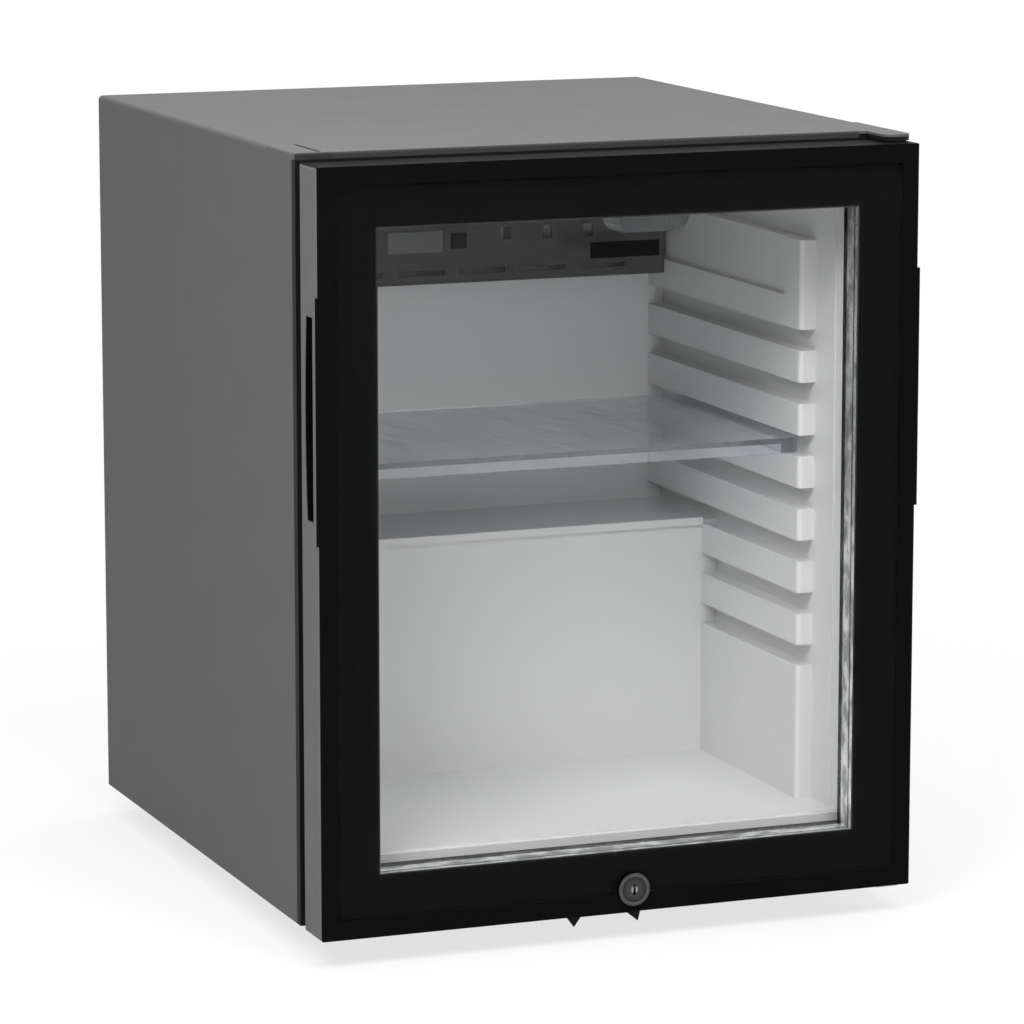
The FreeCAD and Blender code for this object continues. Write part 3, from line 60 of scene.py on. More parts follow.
class Finish:
    """A material with its main shader, and short ways to add texture nodes to it."""

    def __init__(self, name):
        self.material = bpy.data.materials.new(name)
        self.material.use_nodes = True
        self.nodes = self.material.node_tree.nodes
        self.links = self.material.node_tree.links
        self.shader = self.nodes["Principled BSDF"]
        self.output = self.nodes["Material Output"]
        self.place = self.nodes.new("ShaderNodeTexCoord").outputs["Object"]

    def set(self, **values):
        for name, value in values.items():
            self.shader.inputs[name.replace("_", " ")].default_value = value
        return self

    def link(self, source, target):
        self.links.new(source, target)

    def stretched(self, scale):
        mapping = self.nodes.new("ShaderNodeMapping")
        mapping.inputs["Scale"].default_value = scale
        self.link(self.place, mapping.inputs["Vector"])
        return mapping.outputs["Vector"]

    def noise(self, scale, detail=3.0, roughness=0.55, place=None):
        texture = self.nodes.new("ShaderNodeTexNoise")
        texture.inputs["Scale"].default_value = scale
        texture.inputs["Detail"].default_value = detail
        texture.inputs["Roughness"].default_value = roughness
        self.link(place or self.place, texture.inputs["Vector"])
        return texture.outputs["Fac"]

    def cells(self, scale, output="Distance", place=None):
        texture = self.nodes.new("ShaderNodeTexVoronoi")
        texture.inputs["Scale"].default_value = scale
        self.link(place or self.place, texture.inputs["Vector"])
        return texture.outputs[output]

    def ranged(self, value, low, high, to_low, to_high):
        node = self.nodes.new("ShaderNodeMapRange")
        settings = (("From Min", low), ("From Max", high), ("To Min", to_low), ("To Max", to_high))
        for name, number in settings:
            node.inputs[name].default_value = number
        self.link(value, node.inputs["Value"])
        return node.outputs["Result"]

    def math(self, operation, first, second):
        node = self.nodes.new("ShaderNodeMath")
        node.operation = operation
        for socket, value in zip(node.inputs, (first, second)):
            if isinstance(value, (int, float)):
                socket.default_value = value
            else:
                self.link(value, socket)
        return node.outputs["Value"]

    def axis(self, letter):
        node = self.nodes.new("ShaderNodeSeparateXYZ")
        self.link(self.place, node.inputs["Vector"])
        return node.outputs[letter]

    def blend(self, share, first, second):
        node = self.nodes.new("ShaderNodeMix")
        node.data_type = "RGBA"
        self.link(share, node.inputs["Factor"])
        for socket, colour in (("A", first), ("B", second)):
            target = [item for item in node.inputs if item.name == socket and item.type == "RGBA"][0]
            if isinstance(colour, tuple):
                target.default_value = (*colour, 1.0)
            else:
                self.link(colour, target)
        return [item for item in node.outputs if item.type == "RGBA"][0]

    def steps(self, value, *stops):
        """Grey tones along a value, each stop a place from 0 to 1 and its tone."""
        node = self.nodes.new("ShaderNodeValToRGB")
        band = node.color_ramp
        while len(band.elements) < len(stops):
            band.elements.new(0.5)
        for element, (place, tone) in zip(band.elements, stops):
            element.position = place
            element.color = (tone, tone, tone, 1.0)
        self.link(value, node.inputs["Fac"])
        return node.outputs["Color"]

    def colour(self, source):
        self.link(source, self.shader.inputs["Base Color"])
        return self

    def rough(self, source):
        self.link(source, self.shader.inputs["Roughness"])
        return self

    def bump(self, height, depth):
        node = self.nodes.new("ShaderNodeBump")
        node.inputs["Distance"].default_value = depth
        self.link(height, node.inputs["Height"])
        self.link(node.outputs["Normal"], self.shader.inputs["Normal"])
        return self

    def lets_light_through(self, tint=(1.0, 1.0, 1.0)):
        """Light from the lamps passes straight through the glass."""
        path = self.nodes.new("ShaderNodeLightPath")
        clear = self.nodes.new("ShaderNodeBsdfTransparent")
        clear.inputs["Color"].default_value = (*tint, 1.0)
        mix = self.nodes.new("ShaderNodeMixShader")
        straight = self.math("MAXIMUM", path.outputs["Is Shadow Ray"], path.outputs["Is Diffuse Ray"])
        self.link(straight, mix.inputs["Fac"])
        self.link(self.shader.outputs["BSDF"], mix.inputs[1])
        self.link(clear.outputs["BSDF"], mix.inputs[2])
        self.link(mix.outputs["Shader"], self.output.inputs["Surface"])
        return self


def painted_sheet(name, dark, light, gloss, shine):
    """Sheet steel with a satin paint: faint clouding and a fine orange peel."""
    finish = Finish(name)
    finish.set(Specular_IOR_Level=shine)
    finish.colour(finish.blend(finish.noise(7.0), dark, light))
    finish.rough(finish.ranged(finish.noise(30.0, 4.0), 0.3, 0.7, gloss - 0.04, gloss + 0.06))
    finish.bump(finish.noise(900.0, 2.0), 0.00004)
    return finish.material


def grained_plastic(name, dark, light, grain=1400.0, depth=0.00005, gloss=0.5, shine=0.5):
    """Moulded plastic with a fine grained skin."""
    finish = Finish(name)
    finish.set(Specular_IOR_Level=shine)
    finish.colour(finish.blend(finish.noise(14.0), dark, light))
    finish.rough(finish.ranged(finish.noise(60.0, 3.0), 0.3, 0.7, gloss - 0.05, gloss + 0.07))
    finish.bump(finish.cells(grain), depth)
    return finish.material


def plated_steel(name, dark, light):
    """Zinc-plated steel with a cloudy lustre and fine rolling lines."""
    finish = Finish(name)
    finish.set(Metallic=1.0)
    finish.colour(finish.blend(finish.noise(40.0, 5.0), dark, light))
    lines = finish.noise(120.0, 4.0, place=finish.stretched((1.0, 12.0, 12.0)))
    finish.rough(finish.ranged(lines, 0.3, 0.7, 0.24, 0.44))
    finish.bump(lines, 0.00002)
    return finish.material


def spangled_steel(name):
    """Galvanised sheet with the flaky crystals of its zinc."""
    finish = Finish(name)
    finish.set(Metallic=1.0)
    flakes = finish.cells(95.0, "Color")
    grey = finish.nodes.new("ShaderNodeRGBToBW")
    finish.link(flakes, grey.inputs["Color"])
    shade = grey.outputs["Val"]
    finish.colour(finish.blend(shade, (0.36, 0.37, 0.38), (0.62, 0.63, 0.64)))
    finish.rough(finish.ranged(shade, 0.0, 1.0, 0.34, 0.55))
    finish.bump(finish.noise(300.0, 3.0), 0.00002)
    return finish.material


def front_edge(finish, node, reach=0.6):
    """1 on a node's faces within a reach, in millimetres, of its foremost plane, and 0 behind them."""
    fade = 0.3 * MM
    plane = Vector(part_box(node)[0]).y + reach * MM
    return finish.ranged(finish.axis("Y"), plane - fade, plane, 1.0, 0.0)


def charcoal_paint(name, edge=None, edge_and_shade_tone=0.0):
    """Satin charcoal paint, with a darker edge where the edge's mask says so. On the cabinet's hem that
    edge is partly painted shade, and on the trim's and cap's fronts and the cap's slit it is painted
    shade.
    """
    finish = Finish(name)
    paint = finish.blend(finish.noise(4.0), (0.101, 0.1015, 0.1025), (0.107, 0.1075, 0.1085))
    if edge:
        paint = finish.blend(edge(finish), paint, (edge_and_shade_tone, edge_and_shade_tone, edge_and_shade_tone))
    finish.colour(paint)
    finish.rough(finish.ranged(finish.noise(30.0, 4.0), 0.3, 0.7, 0.54, 0.58))
    finish.bump(finish.noise(700.0, 2.0), 0.000015)
    finish.set(Specular_IOR_Level=0.08)
    return finish.material


def hem_black_and_shade(finish):
    """1 on the hemmed front of the cabinet's sides, and 0 behind it. The black there is partly a black
    front band and partly painted shade of the narrow gap behind the door's edge.
    """
    hem_depth = 6.5 * MM
    fade = 0.2 * MM
    hem = Vector(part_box("outer_shell")[0]).y + hem_depth
    return finish.ranged(finish.axis("Y"), hem, hem + fade, 1.0, 0.0)


# Painted shade: the trim's foremost 1.7 mm are darker, standing for the shade on its front face.
def trim_front_shade(finish):
    return front_edge(finish, "top_trim", 1.7)


def cap_front_and_slit_shade(finish):
    """1 in the slit of the cap's top and on its front, and 0 on the rest of it. Both marks are painted
    shade: the slit's walls stand for the shade in the groove, the front for the shade on the cap's front
    face.
    """
    skin_depth = 0.5 * MM
    outer_wall = 3.0 * MM
    skin = Vector(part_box("blank_cap")[1]).z - skin_depth
    in_slit = finish.ranged(finish.axis("Z"), skin - 0.3 * MM, skin, 1.0, 0.0)
    inside = Vector(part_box("blank_cap")[0]).x + outer_wall
    inwards = finish.ranged(finish.axis("X"), inside, inside + 0.2 * MM, 0.0, 1.0)
    slit_shade = finish.math("MULTIPLY", in_slit, inwards)
    return finish.math("MAXIMUM", slit_shade, front_edge(finish, "blank_cap", 1.7))


def base_front(finish):
    return front_edge(finish, "base_panel", 1.7)


def rigid_foam():
    finish = Finish("rigid_foam")
    finish.colour(finish.blend(finish.noise(35.0, 5.0), (0.72, 0.58, 0.30), (0.86, 0.76, 0.50)))
    finish.rough(finish.ranged(finish.noise(90.0), 0.2, 0.8, 0.85, 0.97))
    finish.bump(finish.cells(700.0), 0.0004)
    return finish.material


def liner_plastic():
    """Smooth pale grey vacuum-formed plastic with a soft sheen."""
    finish = Finish("liner_plastic")
    finish.colour(finish.blend(finish.noise(5.0), (0.64, 0.64, 0.642), (0.68, 0.68, 0.680)))
    finish.rough(finish.ranged(finish.noise(25.0, 3.0), 0.3, 0.7, 0.28, 0.38))
    finish.bump(finish.noise(420.0, 2.0), 0.00006)
    return finish.material


def cover_plastic():
    dark = (0.040, 0.0405, 0.041)
    light = (0.048, 0.0485, 0.049)
    return grained_plastic("cover_plastic", dark, light, grain=1100.0, shine=0.25)


def foot_plastic():
    dark = (0.016, 0.016, 0.016)
    light = (0.030, 0.030, 0.030)
    return grained_plastic("foot_plastic", dark, light, grain=900.0, gloss=0.65)


def black_enamel():
    dark = (0.004, 0.004, 0.0045)
    light = (0.009, 0.009, 0.0095)
    return painted_sheet("black_enamel", dark, light, gloss=0.5, shine=0.15)


def frosted_lens():
    finish = Finish("frosted_lens")
    finish.set(Subsurface_Weight=0.3, Subsurface_Scale=0.01)
    finish.colour(finish.blend(finish.noise(200.0), (0.092, 0.093, 0.095), (0.114, 0.115, 0.117)))
    finish.rough(finish.ranged(finish.noise(900.0), 0.3, 0.7, 0.45, 0.6))
    finish.bump(finish.noise(1600.0, 2.0), 0.00005)
    return finish.material


def circuit_board():
    finish = Finish("circuit_board")
    tracks = finish.ranged(finish.cells(260.0), 0.10, 0.16, 1.0, 0.0)
    finish.colour(finish.blend(tracks, (0.02, 0.16, 0.06), (0.30, 0.42, 0.16)))
    finish.rough(finish.ranged(tracks, 0.0, 1.0, 0.35, 0.25))
    return finish.material


def button_plastic():
    dark = (0.006, 0.006, 0.0065)
    light = (0.010, 0.010, 0.0105)
    return grained_plastic("button_plastic", dark, light, grain=1800.0, gloss=0.33, shine=0.05)


def fin_aluminium():
    finish = Finish("fin_aluminium")
    finish.set(Metallic=1.0)
    drawn = finish.noise(70.0, 5.0, place=finish.stretched((6.0, 6.0, 0.4)))
    finish.colour(finish.blend(drawn, (0.60, 0.61, 0.62), (0.78, 0.79, 0.80)))
    finish.rough(finish.ranged(drawn, 0.3, 0.7, 0.28, 0.48))
    finish.bump(drawn, 0.00003)
    return finish.material


def lamp_plastic():
    dark = (0.060, 0.061, 0.063)
    light = (0.080, 0.081, 0.083)
    return grained_plastic("lamp_plastic", dark, light, grain=1600.0, gloss=0.4)


def ribbed_lens():
    """Clear lens with fine ribs across it."""
    finish = Finish("ribbed_lens")
    finish.set(Transmission_Weight=0.75, IOR=1.35, Base_Color=(0.22, 0.23, 0.24, 1.0))
    wave = finish.nodes.new("ShaderNodeTexWave")
    wave.inputs["Scale"].default_value = 130.0
    wave.bands_direction = "X"
    finish.link(finish.place, wave.inputs["Vector"])
    finish.rough(finish.ranged(finish.noise(300.0), 0.3, 0.7, 0.12, 0.22))
    finish.bump(wave.outputs["Fac"], 0.0003)
    return finish.lets_light_through((0.85, 0.88, 0.9)).material


def shelf_plastic():
    """Clear moulded plastic with a blue cast and faint flow marks."""
    finish = Finish("shelf_plastic")
    finish.set(Transmission_Weight=0.92, IOR=1.49, Base_Color=(0.80, 0.84, 0.88, 1.0))
    flow = finish.noise(38.0, 4.0, place=finish.stretched((1.0, 0.3, 1.0)))
    finish.rough(finish.ranged(flow, 0.3, 0.7, 0.05, 0.16))
    finish.bump(flow, 0.0004)
    return finish.lets_light_through((0.93, 0.945, 0.96)).material


def unit_paint():
    """Black lacquer of the cooling unit, dulled by dust."""
    finish = Finish("unit_paint")
    dust = finish.ranged(finish.noise(22.0, 6.0), 0.45, 0.75, 0.0, 0.5)
    finish.colour(finish.blend(dust, (0.012, 0.012, 0.013), (0.070, 0.068, 0.064)))
    finish.rough(finish.ranged(dust, 0.0, 0.5, 0.34, 0.62))
    finish.bump(finish.noise(500.0, 3.0), 0.00006)
    return finish.material


def box_plastic():
    dark = (0.014, 0.014, 0.015)
    light = (0.026, 0.026, 0.027)
    return grained_plastic("box_plastic", dark, light, grain=1300.0, depth=0.00008)


def drain_plastic():
    dark = (0.36, 0.37, 0.38)
    light = (0.44, 0.45, 0.46)
    return grained_plastic("drain_plastic", dark, light, grain=900.0, gloss=0.45)


def door_plastic():
    """Door moulding: black, with its two upright edges in charcoal."""
    door_side = 201.0 * MM
    finish = Finish("door_plastic")
    sideways = finish.math("ABSOLUTE", finish.axis("X"), 0.0)
    is_edge = finish.ranged(sideways, door_side - 0.6 * MM, door_side - 0.3 * MM, 0.0, 1.0)
    charcoal = finish.blend(finish.noise(12.0), (0.135, 0.136, 0.138), (0.147, 0.148, 0.150))
    black = finish.blend(finish.noise(30.0), (0.0024, 0.0024, 0.0026), (0.0040, 0.0040, 0.0042))
    front = front_edge(finish, "door_frame")
    is_side = finish.math("MULTIPLY", is_edge, finish.math("SUBTRACT", 1.0, front))
    finish.colour(finish.blend(is_side, black, charcoal))
    cloud = finish.ranged(finish.noise(35.0, 4.0), 0.3, 0.7, 0.0, 0.06)
    lacquer = finish.ranged(front, 0.0, 1.0, 0.50, 0.16)
    finish.rough(finish.math("ADD", cloud, lacquer))
    finish.bump(finish.noise(800.0, 2.0), 0.00002)
    finish.set(Specular_IOR_Level=0.02)
    return finish.material


def window_glass(name, bending, tint, through):
    """Polished glass; a trace of wiping marks shows in its gloss."""
    finish = Finish(name)
    finish.set(Transmission_Weight=1.0, IOR=bending, Base_Color=(*tint, 1.0))
    wiped = finish.noise(9.0, 5.0, place=finish.stretched((1.0, 1.0, 0.35)))
    finish.rough(finish.ranged(wiped, 0.4, 0.75, 0.0, 0.025))
    return finish.lets_light_through(through).material


def front_glass():
    return window_glass("front_glass", 1.10, (0.99, 0.99, 0.99), (0.98, 0.98, 0.98))


def inner_glass():
    return window_glass("inner_glass", 1.15, (0.985, 0.988, 0.986), (0.975, 0.978, 0.976))


def black_print():
    """Black print that covers the outside of the spacer, with a thin grey line round the window that is
    a painted highlight of the window's edge.
    """
    cover = 3.0 * MM
    highlight_start = 0.9 * MM
    highlight_end = 1.1 * MM
    finish = Finish("black_print")
    finish.set(Specular_IOR_Level=0.0)
    low, high = [Vector(corner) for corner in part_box("spacer_bar")]
    beside = []
    for letter, start, end in (("X", low.x, high.x), ("Z", low.z, high.z)):
        half_window = (end - start) / 2 - cover
        from_middle = finish.math("SUBTRACT", finish.axis(letter), (start + end) / 2)
        off_middle = finish.math("ABSOLUTE", from_middle, 0.0)
        beside.append(finish.math("SUBTRACT", off_middle, half_window))
    from_window = finish.math("MAXIMUM", *beside)
    # The thin grey line round the window is a painted highlight of the window's edge.
    edge_highlight = finish.ranged(from_window, highlight_start, highlight_end, 1.0, 0.0)
    black = finish.blend(finish.noise(20.0), (0.0022, 0.0022, 0.0023), (0.0034, 0.0034, 0.0035))
    finish.colour(finish.blend(edge_highlight, black, (0.030, 0.030, 0.031)))
    finish.rough(finish.ranged(finish.noise(50.0), 0.3, 0.7, 0.16, 0.24))
    return finish.material


def badge_lacquer():
    """Small plate in black gloss lacquer."""
    finish = Finish("badge_lacquer")
    finish.set(Specular_IOR_Level=0.03)
    finish.colour(finish.blend(finish.noise(90.0), (0.0020, 0.0020, 0.0022), (0.0032, 0.0032, 0.0034)))
    finish.rough(finish.ranged(finish.noise(140.0), 0.3, 0.7, 0.14, 0.20))
    return finish.material


def spacer_aluminium():
    """Mill aluminium between two dark lines of sealant, dulled in some patches and brightened in others,
    the bright ones partly painted reflections, with a bright front edge that is a painted highlight.
    """
    finish = Finish("spacer_aluminium")
    finish.set(Metallic=0.9)
    front, rear = [Vector(corner).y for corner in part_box("spacer_bar")]
    across = finish.ranged(finish.axis("Y"), front, rear, 0.0, 1.0)
    # The bright front band, set off by the dark line behind it, is a painted highlight of the spacer's
    # front edge.
    lines = finish.steps(across, (0.0, 0.95), (0.16, 0.95), (0.19, 0.16), (0.25, 0.16), (0.30, 0.95),
                         (0.70, 0.85), (0.78, 0.04), (1.0, 0.03))
    mottle = finish.noise(55.0, 4.0, place=finish.stretched((1.0, 2.0, 1.0)))
    # The patches run from dulled metal to brighter than the metal's own colour; the bright end is partly
    # painted reflection.
    dull_and_glint_patches = finish.ranged(mottle, 0.42, 0.60, 0.0, 1.0)
    dull_and_glint = finish.blend(dull_and_glint_patches, (0.50, 0.51, 0.52), (1.25, 1.26, 1.27))
    product = finish.nodes.new("ShaderNodeMix")
    product.data_type = "RGBA"
    product.blend_type = "MULTIPLY"
    product.inputs["Factor"].default_value = 1.0
    sockets = [item for item in product.inputs if item.type == "RGBA"]
    finish.link(lines, sockets[0])
    finish.link(dull_and_glint, sockets[1])
    finish.colour([item for item in product.outputs if item.type == "RGBA"][0])
    finish.rough(finish.ranged(dull_and_glint_patches, 0.0, 1.0, 0.42, 0.24))
    finish.bump(dull_and_glint_patches, 0.0003)
    return finish.material


def retainer_plastic():
    dark = (0.050, 0.050, 0.053)
    light = (0.064, 0.064, 0.067)
    return grained_plastic("retainer_plastic", dark, light, grain=1300.0, gloss=0.45)


def seal_rubber():
    finish = Finish("seal_rubber")
    finish.set(Sheen_Weight=0.15)
    finish.colour(finish.blend(finish.noise(45.0, 4.0), (0.020, 0.020, 0.021), (0.036, 0.036, 0.037)))
    finish.rough(finish.ranged(finish.noise(120.0), 0.3, 0.7, 0.52, 0.68))
    finish.bump(finish.noise(900.0, 2.0), 0.00005)
    return finish.material


def nylon():
    dark = (0.60, 0.60, 0.57)
    light = (0.68, 0.68, 0.65)
    return grained_plastic("nylon", dark, light, grain=700.0, gloss=0.42)


def dark_chrome(name, *rings):
    """Dark chrome of the lock, turned in rings, each a share of its radius and a tone."""
    lock_radius = 10.0 * MM
    finish = Finish(name)
    finish.set(Metallic=1.0)
    low, high = [Vector(corner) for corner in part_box("lock_housing")]
    middle = (low + high) / 2
    squares = []
    for letter, centre in (("X", middle.x), ("Z", middle.z)):
        offset = finish.math("SUBTRACT", finish.axis(letter), centre)
        squares.append(finish.math("MULTIPLY", offset, offset))
    distance = finish.math("SQRT", finish.math("ADD", *squares), 0.0)
    from_middle = finish.ranged(distance, 0.0, lock_radius, 0.0, 1.0)
    finish.colour(finish.steps(from_middle, *rings))
    finish.rough(finish.ranged(finish.noise(500.0, 5.0), 0.3, 0.7, 0.20, 0.34))
    finish.bump(finish.noise(1500.0, 3.0), 0.00001)
    return finish.material


# Modelling by hand: small helpers

def nothing_selected():
    if bpy.context.mode != "OBJECT":
        bpy.ops.object.mode_set(mode="OBJECT")
    bpy.ops.object.select_all(action="DESELECT")


def take(piece):
    nothing_selected()
    piece.select_set(True)
    bpy.context.view_layer.objects.active = piece


def named(name):
    piece = bpy.context.object
    piece.name = name
    piece.data.name = name
    bpy.ops.object.transform_apply(location=True, rotation=True, scale=True)
    return piece


def edit(piece):
    take(piece)
    bpy.ops.object.mode_set(mode="EDIT")


def pick(piece, test, kind="VERT"):
    """Select the vertices or faces of a piece in edit mode whose place passes the test."""
    bpy.ops.mesh.select_mode(type=kind)
    bpy.ops.mesh.select_all(action="DESELECT")
    mesh = bmesh.from_edit_mesh(piece.data)
    items = mesh.verts if kind == "VERT" else mesh.faces
    for item in items:
        place = item.co if kind == "VERT" else item.calc_center_median()
        if test(place, item.normal):
            item.select = True
    mesh.select_flush_mode()
    bmesh.update_edit_mesh(piece.data)


def apply_all(piece):
    take(piece)
    for modifier in list(piece.modifiers):
        bpy.ops.object.modifier_apply(modifier=modifier.name)


def softened(piece, width):
    """Round the edges of a piece that turn by more than 30 degrees."""
    modifier = piece.modifiers.new("edges", "BEVEL")
    modifier.width = width
    modifier.segments = 2
    modifier.limit_method = "ANGLE"
    modifier.angle_limit = math.radians(30.0)
    apply_all(piece)


def finished(piece, body, material, smooth):
    """Shade a piece smooth up to an angle in degrees, and give it its material and body."""
    take(piece)
    bpy.ops.object.shade_smooth_by_angle(angle=math.radians(smooth))
    piece.data.materials.clear()
    piece.data.materials.append(material)
    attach(piece, body)
    return piece


# Door seal

def door_seal(material):
    """Magnetic gasket: a flat root, a bellows waist and a crowned lip, mitred at the corners."""
    width = 12.5 * MM
    strips = (1.2, 1.6, 2.0, 2.9, 2.0, 1.6, 1.2)
    crown = ((0.0, 2.6), (1.2, 0.9), (2.8, 0.2), (9.7, 0.2), (11.3, 0.9), (12.5, 2.6))
    waist = ((1.4, 0.6), (2.4, 2.6), (3.6, 2.6), (4.6, 0.6))
    low, high = [Vector(corner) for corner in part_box("gasket")]
    middle = (low + high) / 2
    bpy.ops.mesh.primitive_plane_add(size=1.0, location=(middle.x, high.y, middle.z),
                                     rotation=(math.radians(90.0), 0.0, 0.0))
    bpy.context.object.scale = (high.x - low.x, high.z - low.z, 1.0)
    seal = named("door_seal")
    edit(seal)
    bpy.ops.mesh.select_all(action="SELECT")
    for strip in strips:
        bpy.ops.mesh.inset(thickness=strip * MM, use_boundary=True)
    bpy.ops.mesh.delete(type="FACE")

    def inward(place):
        """How far a place lies inside the seal's outline."""
        return min(place.x - low.x, high.x - place.x, place.z - low.z, high.z - place.z)

    for at, sink in crown:
        pick(seal, lambda place, normal: abs(inward(place) - at * MM) < 0.0003)
        bpy.ops.transform.translate(value=(0.0, -sink * MM, 0.0))
    bpy.ops.mesh.select_all(action="SELECT")
    bpy.ops.mesh.extrude_region_move(TRANSFORM_OT_translate={"value": (0.0, 0.0, 0.0)})
    bpy.ops.transform.resize(value=(1.0, 0.0, 1.0), center_override=(0.0, low.y, 0.0))
    bpy.ops.mesh.select_all(action="SELECT")
    bpy.ops.mesh.normals_make_consistent(inside=False)
    for level, pinch in waist:
        bpy.ops.mesh.select_all(action="SELECT")
        bpy.ops.mesh.bisect(plane_co=(0.0, low.y + level * MM, 0.0), plane_no=(0.0, 1.0, 0.0))
    for level, pinch in waist:
        for outside in (True, False):
            side = 1.0 if outside else -1.0
            edge = 0.0 if outside else width
            pick(seal, lambda place, normal: abs(place.y - low.y - level * MM) < 0.0001
                 and abs(inward(place) - edge) < 0.0004)
            half_x = (high.x - low.x) / 2 - edge
            half_z = (high.z - low.z) / 2 - edge
            factor_x = (half_x - side * pinch * MM) / half_x
            factor_z = (half_z - side * pinch * MM) / half_z
            bpy.ops.transform.resize(value=(factor_x, 1.0, factor_z),
                                     center_override=(middle.x, 0.0, middle.z))
    nothing_selected()
    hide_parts("gasket")
    softened(seal, 0.3 * MM)
    return finished(seal, "door", material, 50.0)


# Blank plate on the window

def window_plate(material):
    """Blank plate with a low rim and softened edges, a hair's breadth in front of the pane."""
    low, high = [Vector(corner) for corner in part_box("glass_badge")]
    middle = (low + high) / 2
    gap = 0.04 * MM
    rim = 0.7 * MM
    sink = 0.1 * MM
    bpy.ops.mesh.primitive_cube_add(size=1.0, location=(middle.x, middle.y - gap, middle.z))
    bpy.context.object.scale = high - low
    plate = named("window_plate")
    edit(plate)
    pick(plate, lambda place, normal: normal.y < -0.9, "FACE")
    bpy.ops.mesh.inset(thickness=rim)
    bpy.ops.transform.translate(value=(0.0, sink, 0.0))
    nothing_selected()
    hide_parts("glass_badge")
    softened(plate, 0.08 * MM)
    return finished(plate, "door", material, 30.0)


# Screw heads

def pan_head(name, place, radius, height, material, body):
    """Pan head with a domed top and a cross recess, looking down."""
    bpy.ops.mesh.primitive_cylinder_add(vertices=32, radius=radius, depth=height,
                                        location=(place.x, place.y, place.z))
    head = named(name)
    edit(head)
    pick(head, lambda spot, normal: normal.z < -0.9, "FACE")
    bpy.ops.mesh.inset(thickness=radius * 0.35)
    bpy.ops.mesh.inset(thickness=radius * 0.25)
    nothing_selected()
    edit(head)
    pick(head, lambda spot, normal: spot.z < place.z and (spot.xy - place.xy).length > radius * 0.9)
    bpy.ops.transform.translate(value=(0.0, 0.0, height * 0.45))
    nothing_selected()
    bars = []
    for long_x, long_y in ((0.62, 0.16), (0.16, 0.62)):
        bpy.ops.mesh.primitive_cube_add(size=1.0, location=(place.x, place.y, place.z - height / 2))
        bpy.context.object.scale = (radius * 2 * long_x, radius * 2 * long_y, height * 1.2)
        bars.append(named("recess"))
    for bar in bars:
        modifier = head.modifiers.new("recess", "BOOLEAN")
        modifier.operation = "DIFFERENCE"
        modifier.object = bar
        apply_all(head)
        bpy.data.objects.remove(bar)
    return finished(head, body, material, 30.0)


def screw_heads(material):
    for node, count in (("strike_screws", 2), ("bottom_hinge_screws", 2)):
        low, high = [Vector(corner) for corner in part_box(node)]
        radius = min(high.x - low.x, high.y - low.y) / 2
        along_x = (high.x - low.x) > (high.y - low.y)
        height = high.z - low.z
        for number in range(count):
            if along_x:
                x = (low.x + radius, high.x - radius)[number]
                place = Vector((x, (low.y + high.y) / 2, (low.z + high.z) / 2))
            else:
                y = (low.y + radius, high.y - radius)[number]
                place = Vector(((low.x + high.x) / 2, y, (low.z + high.z) / 2))
            head = pan_head(f"{node}_{number + 1}", place, radius, height, material, "cabinet")
            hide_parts(node)


# Stage, lamps and camera

def seen_directly(nodes, links):
    """1 for what the camera, a mirror or a clear pane sees, 0 for light on the object."""
    path = nodes.new("ShaderNodeLightPath")
    first = nodes.new("ShaderNodeMath")
    first.operation = "MAXIMUM"
    links.new(path.outputs["Is Camera Ray"], first.inputs[0])
    links.new(path.outputs["Is Glossy Ray"], first.inputs[1])
    second = nodes.new("ShaderNodeMath")
    second.operation = "MAXIMUM"
    links.new(first.outputs["Value"], second.inputs[0])
    links.new(path.outputs["Is Transmission Ray"], second.inputs[1])
    return second.outputs["Value"]


def floor():
    """Pale floor that takes the shadow, and fades into the white backdrop."""
    bpy.ops.mesh.primitive_plane_add(size=40.0, location=(0.0, 0.0, 0.0))
    ground = bpy.context.object
    ground.name = "studio_floor"
    finish = Finish("studio_white")
    finish.set(Specular_IOR_Level=0.0, Roughness=0.9, Base_Color=(0.88, 0.88, 0.88, 1.0))
    reach = finish.nodes.new("ShaderNodeVectorMath")
    reach.operation = "LENGTH"
    finish.link(finish.place, reach.inputs[0])
    # Under the object the floor's own colour shows a little; from a metre away it is plain white.
    far = finish.ranged(reach.outputs["Value"], 0.30, 1.0, 0.74, 1.0)
    share = finish.math("MULTIPLY", far, seen_directly(finish.nodes, finish.links))
    glow = finish.nodes.new("ShaderNodeEmission")
    glow.inputs["Color"].default_value = (1.0, 1.0, 1.0, 1.0)
    mix = finish.nodes.new("ShaderNodeMixShader")
    finish.link(share, mix.inputs["Fac"])
    finish.link(finish.shader.outputs["BSDF"], mix.inputs[1])
    finish.link(glow.outputs["Emission"], mix.inputs[2])
    finish.link(mix.outputs["Shader"], finish.output.inputs["Surface"])
    ground.data.materials.append(finish.material)


def backdrop():
    """White all round where it is seen, and a soft even light on the object."""
    world = bpy.data.worlds.new("studio")
    bpy.context.scene.world = world
    world.use_nodes = True
    nodes = world.node_tree.nodes
    links = world.node_tree.links
    soft = nodes["Background"]
    soft.inputs["Color"].default_value = (1.0, 1.0, 1.0, 1.0)
    soft.inputs["Strength"].default_value = SKY_LIGHT
    white = nodes.new("ShaderNodeBackground")
    white.inputs["Color"].default_value = (1.0, 1.0, 1.0, 1.0)
    mix = nodes.new("ShaderNodeMixShader")
    links.new(seen_directly(nodes, links), mix.inputs["Fac"])
    links.new(soft.outputs["Background"], mix.inputs[1])
    links.new(white.outputs["Background"], mix.inputs[2])
    links.new(mix.outputs["Shader"], nodes["World Output"].inputs["Surface"])


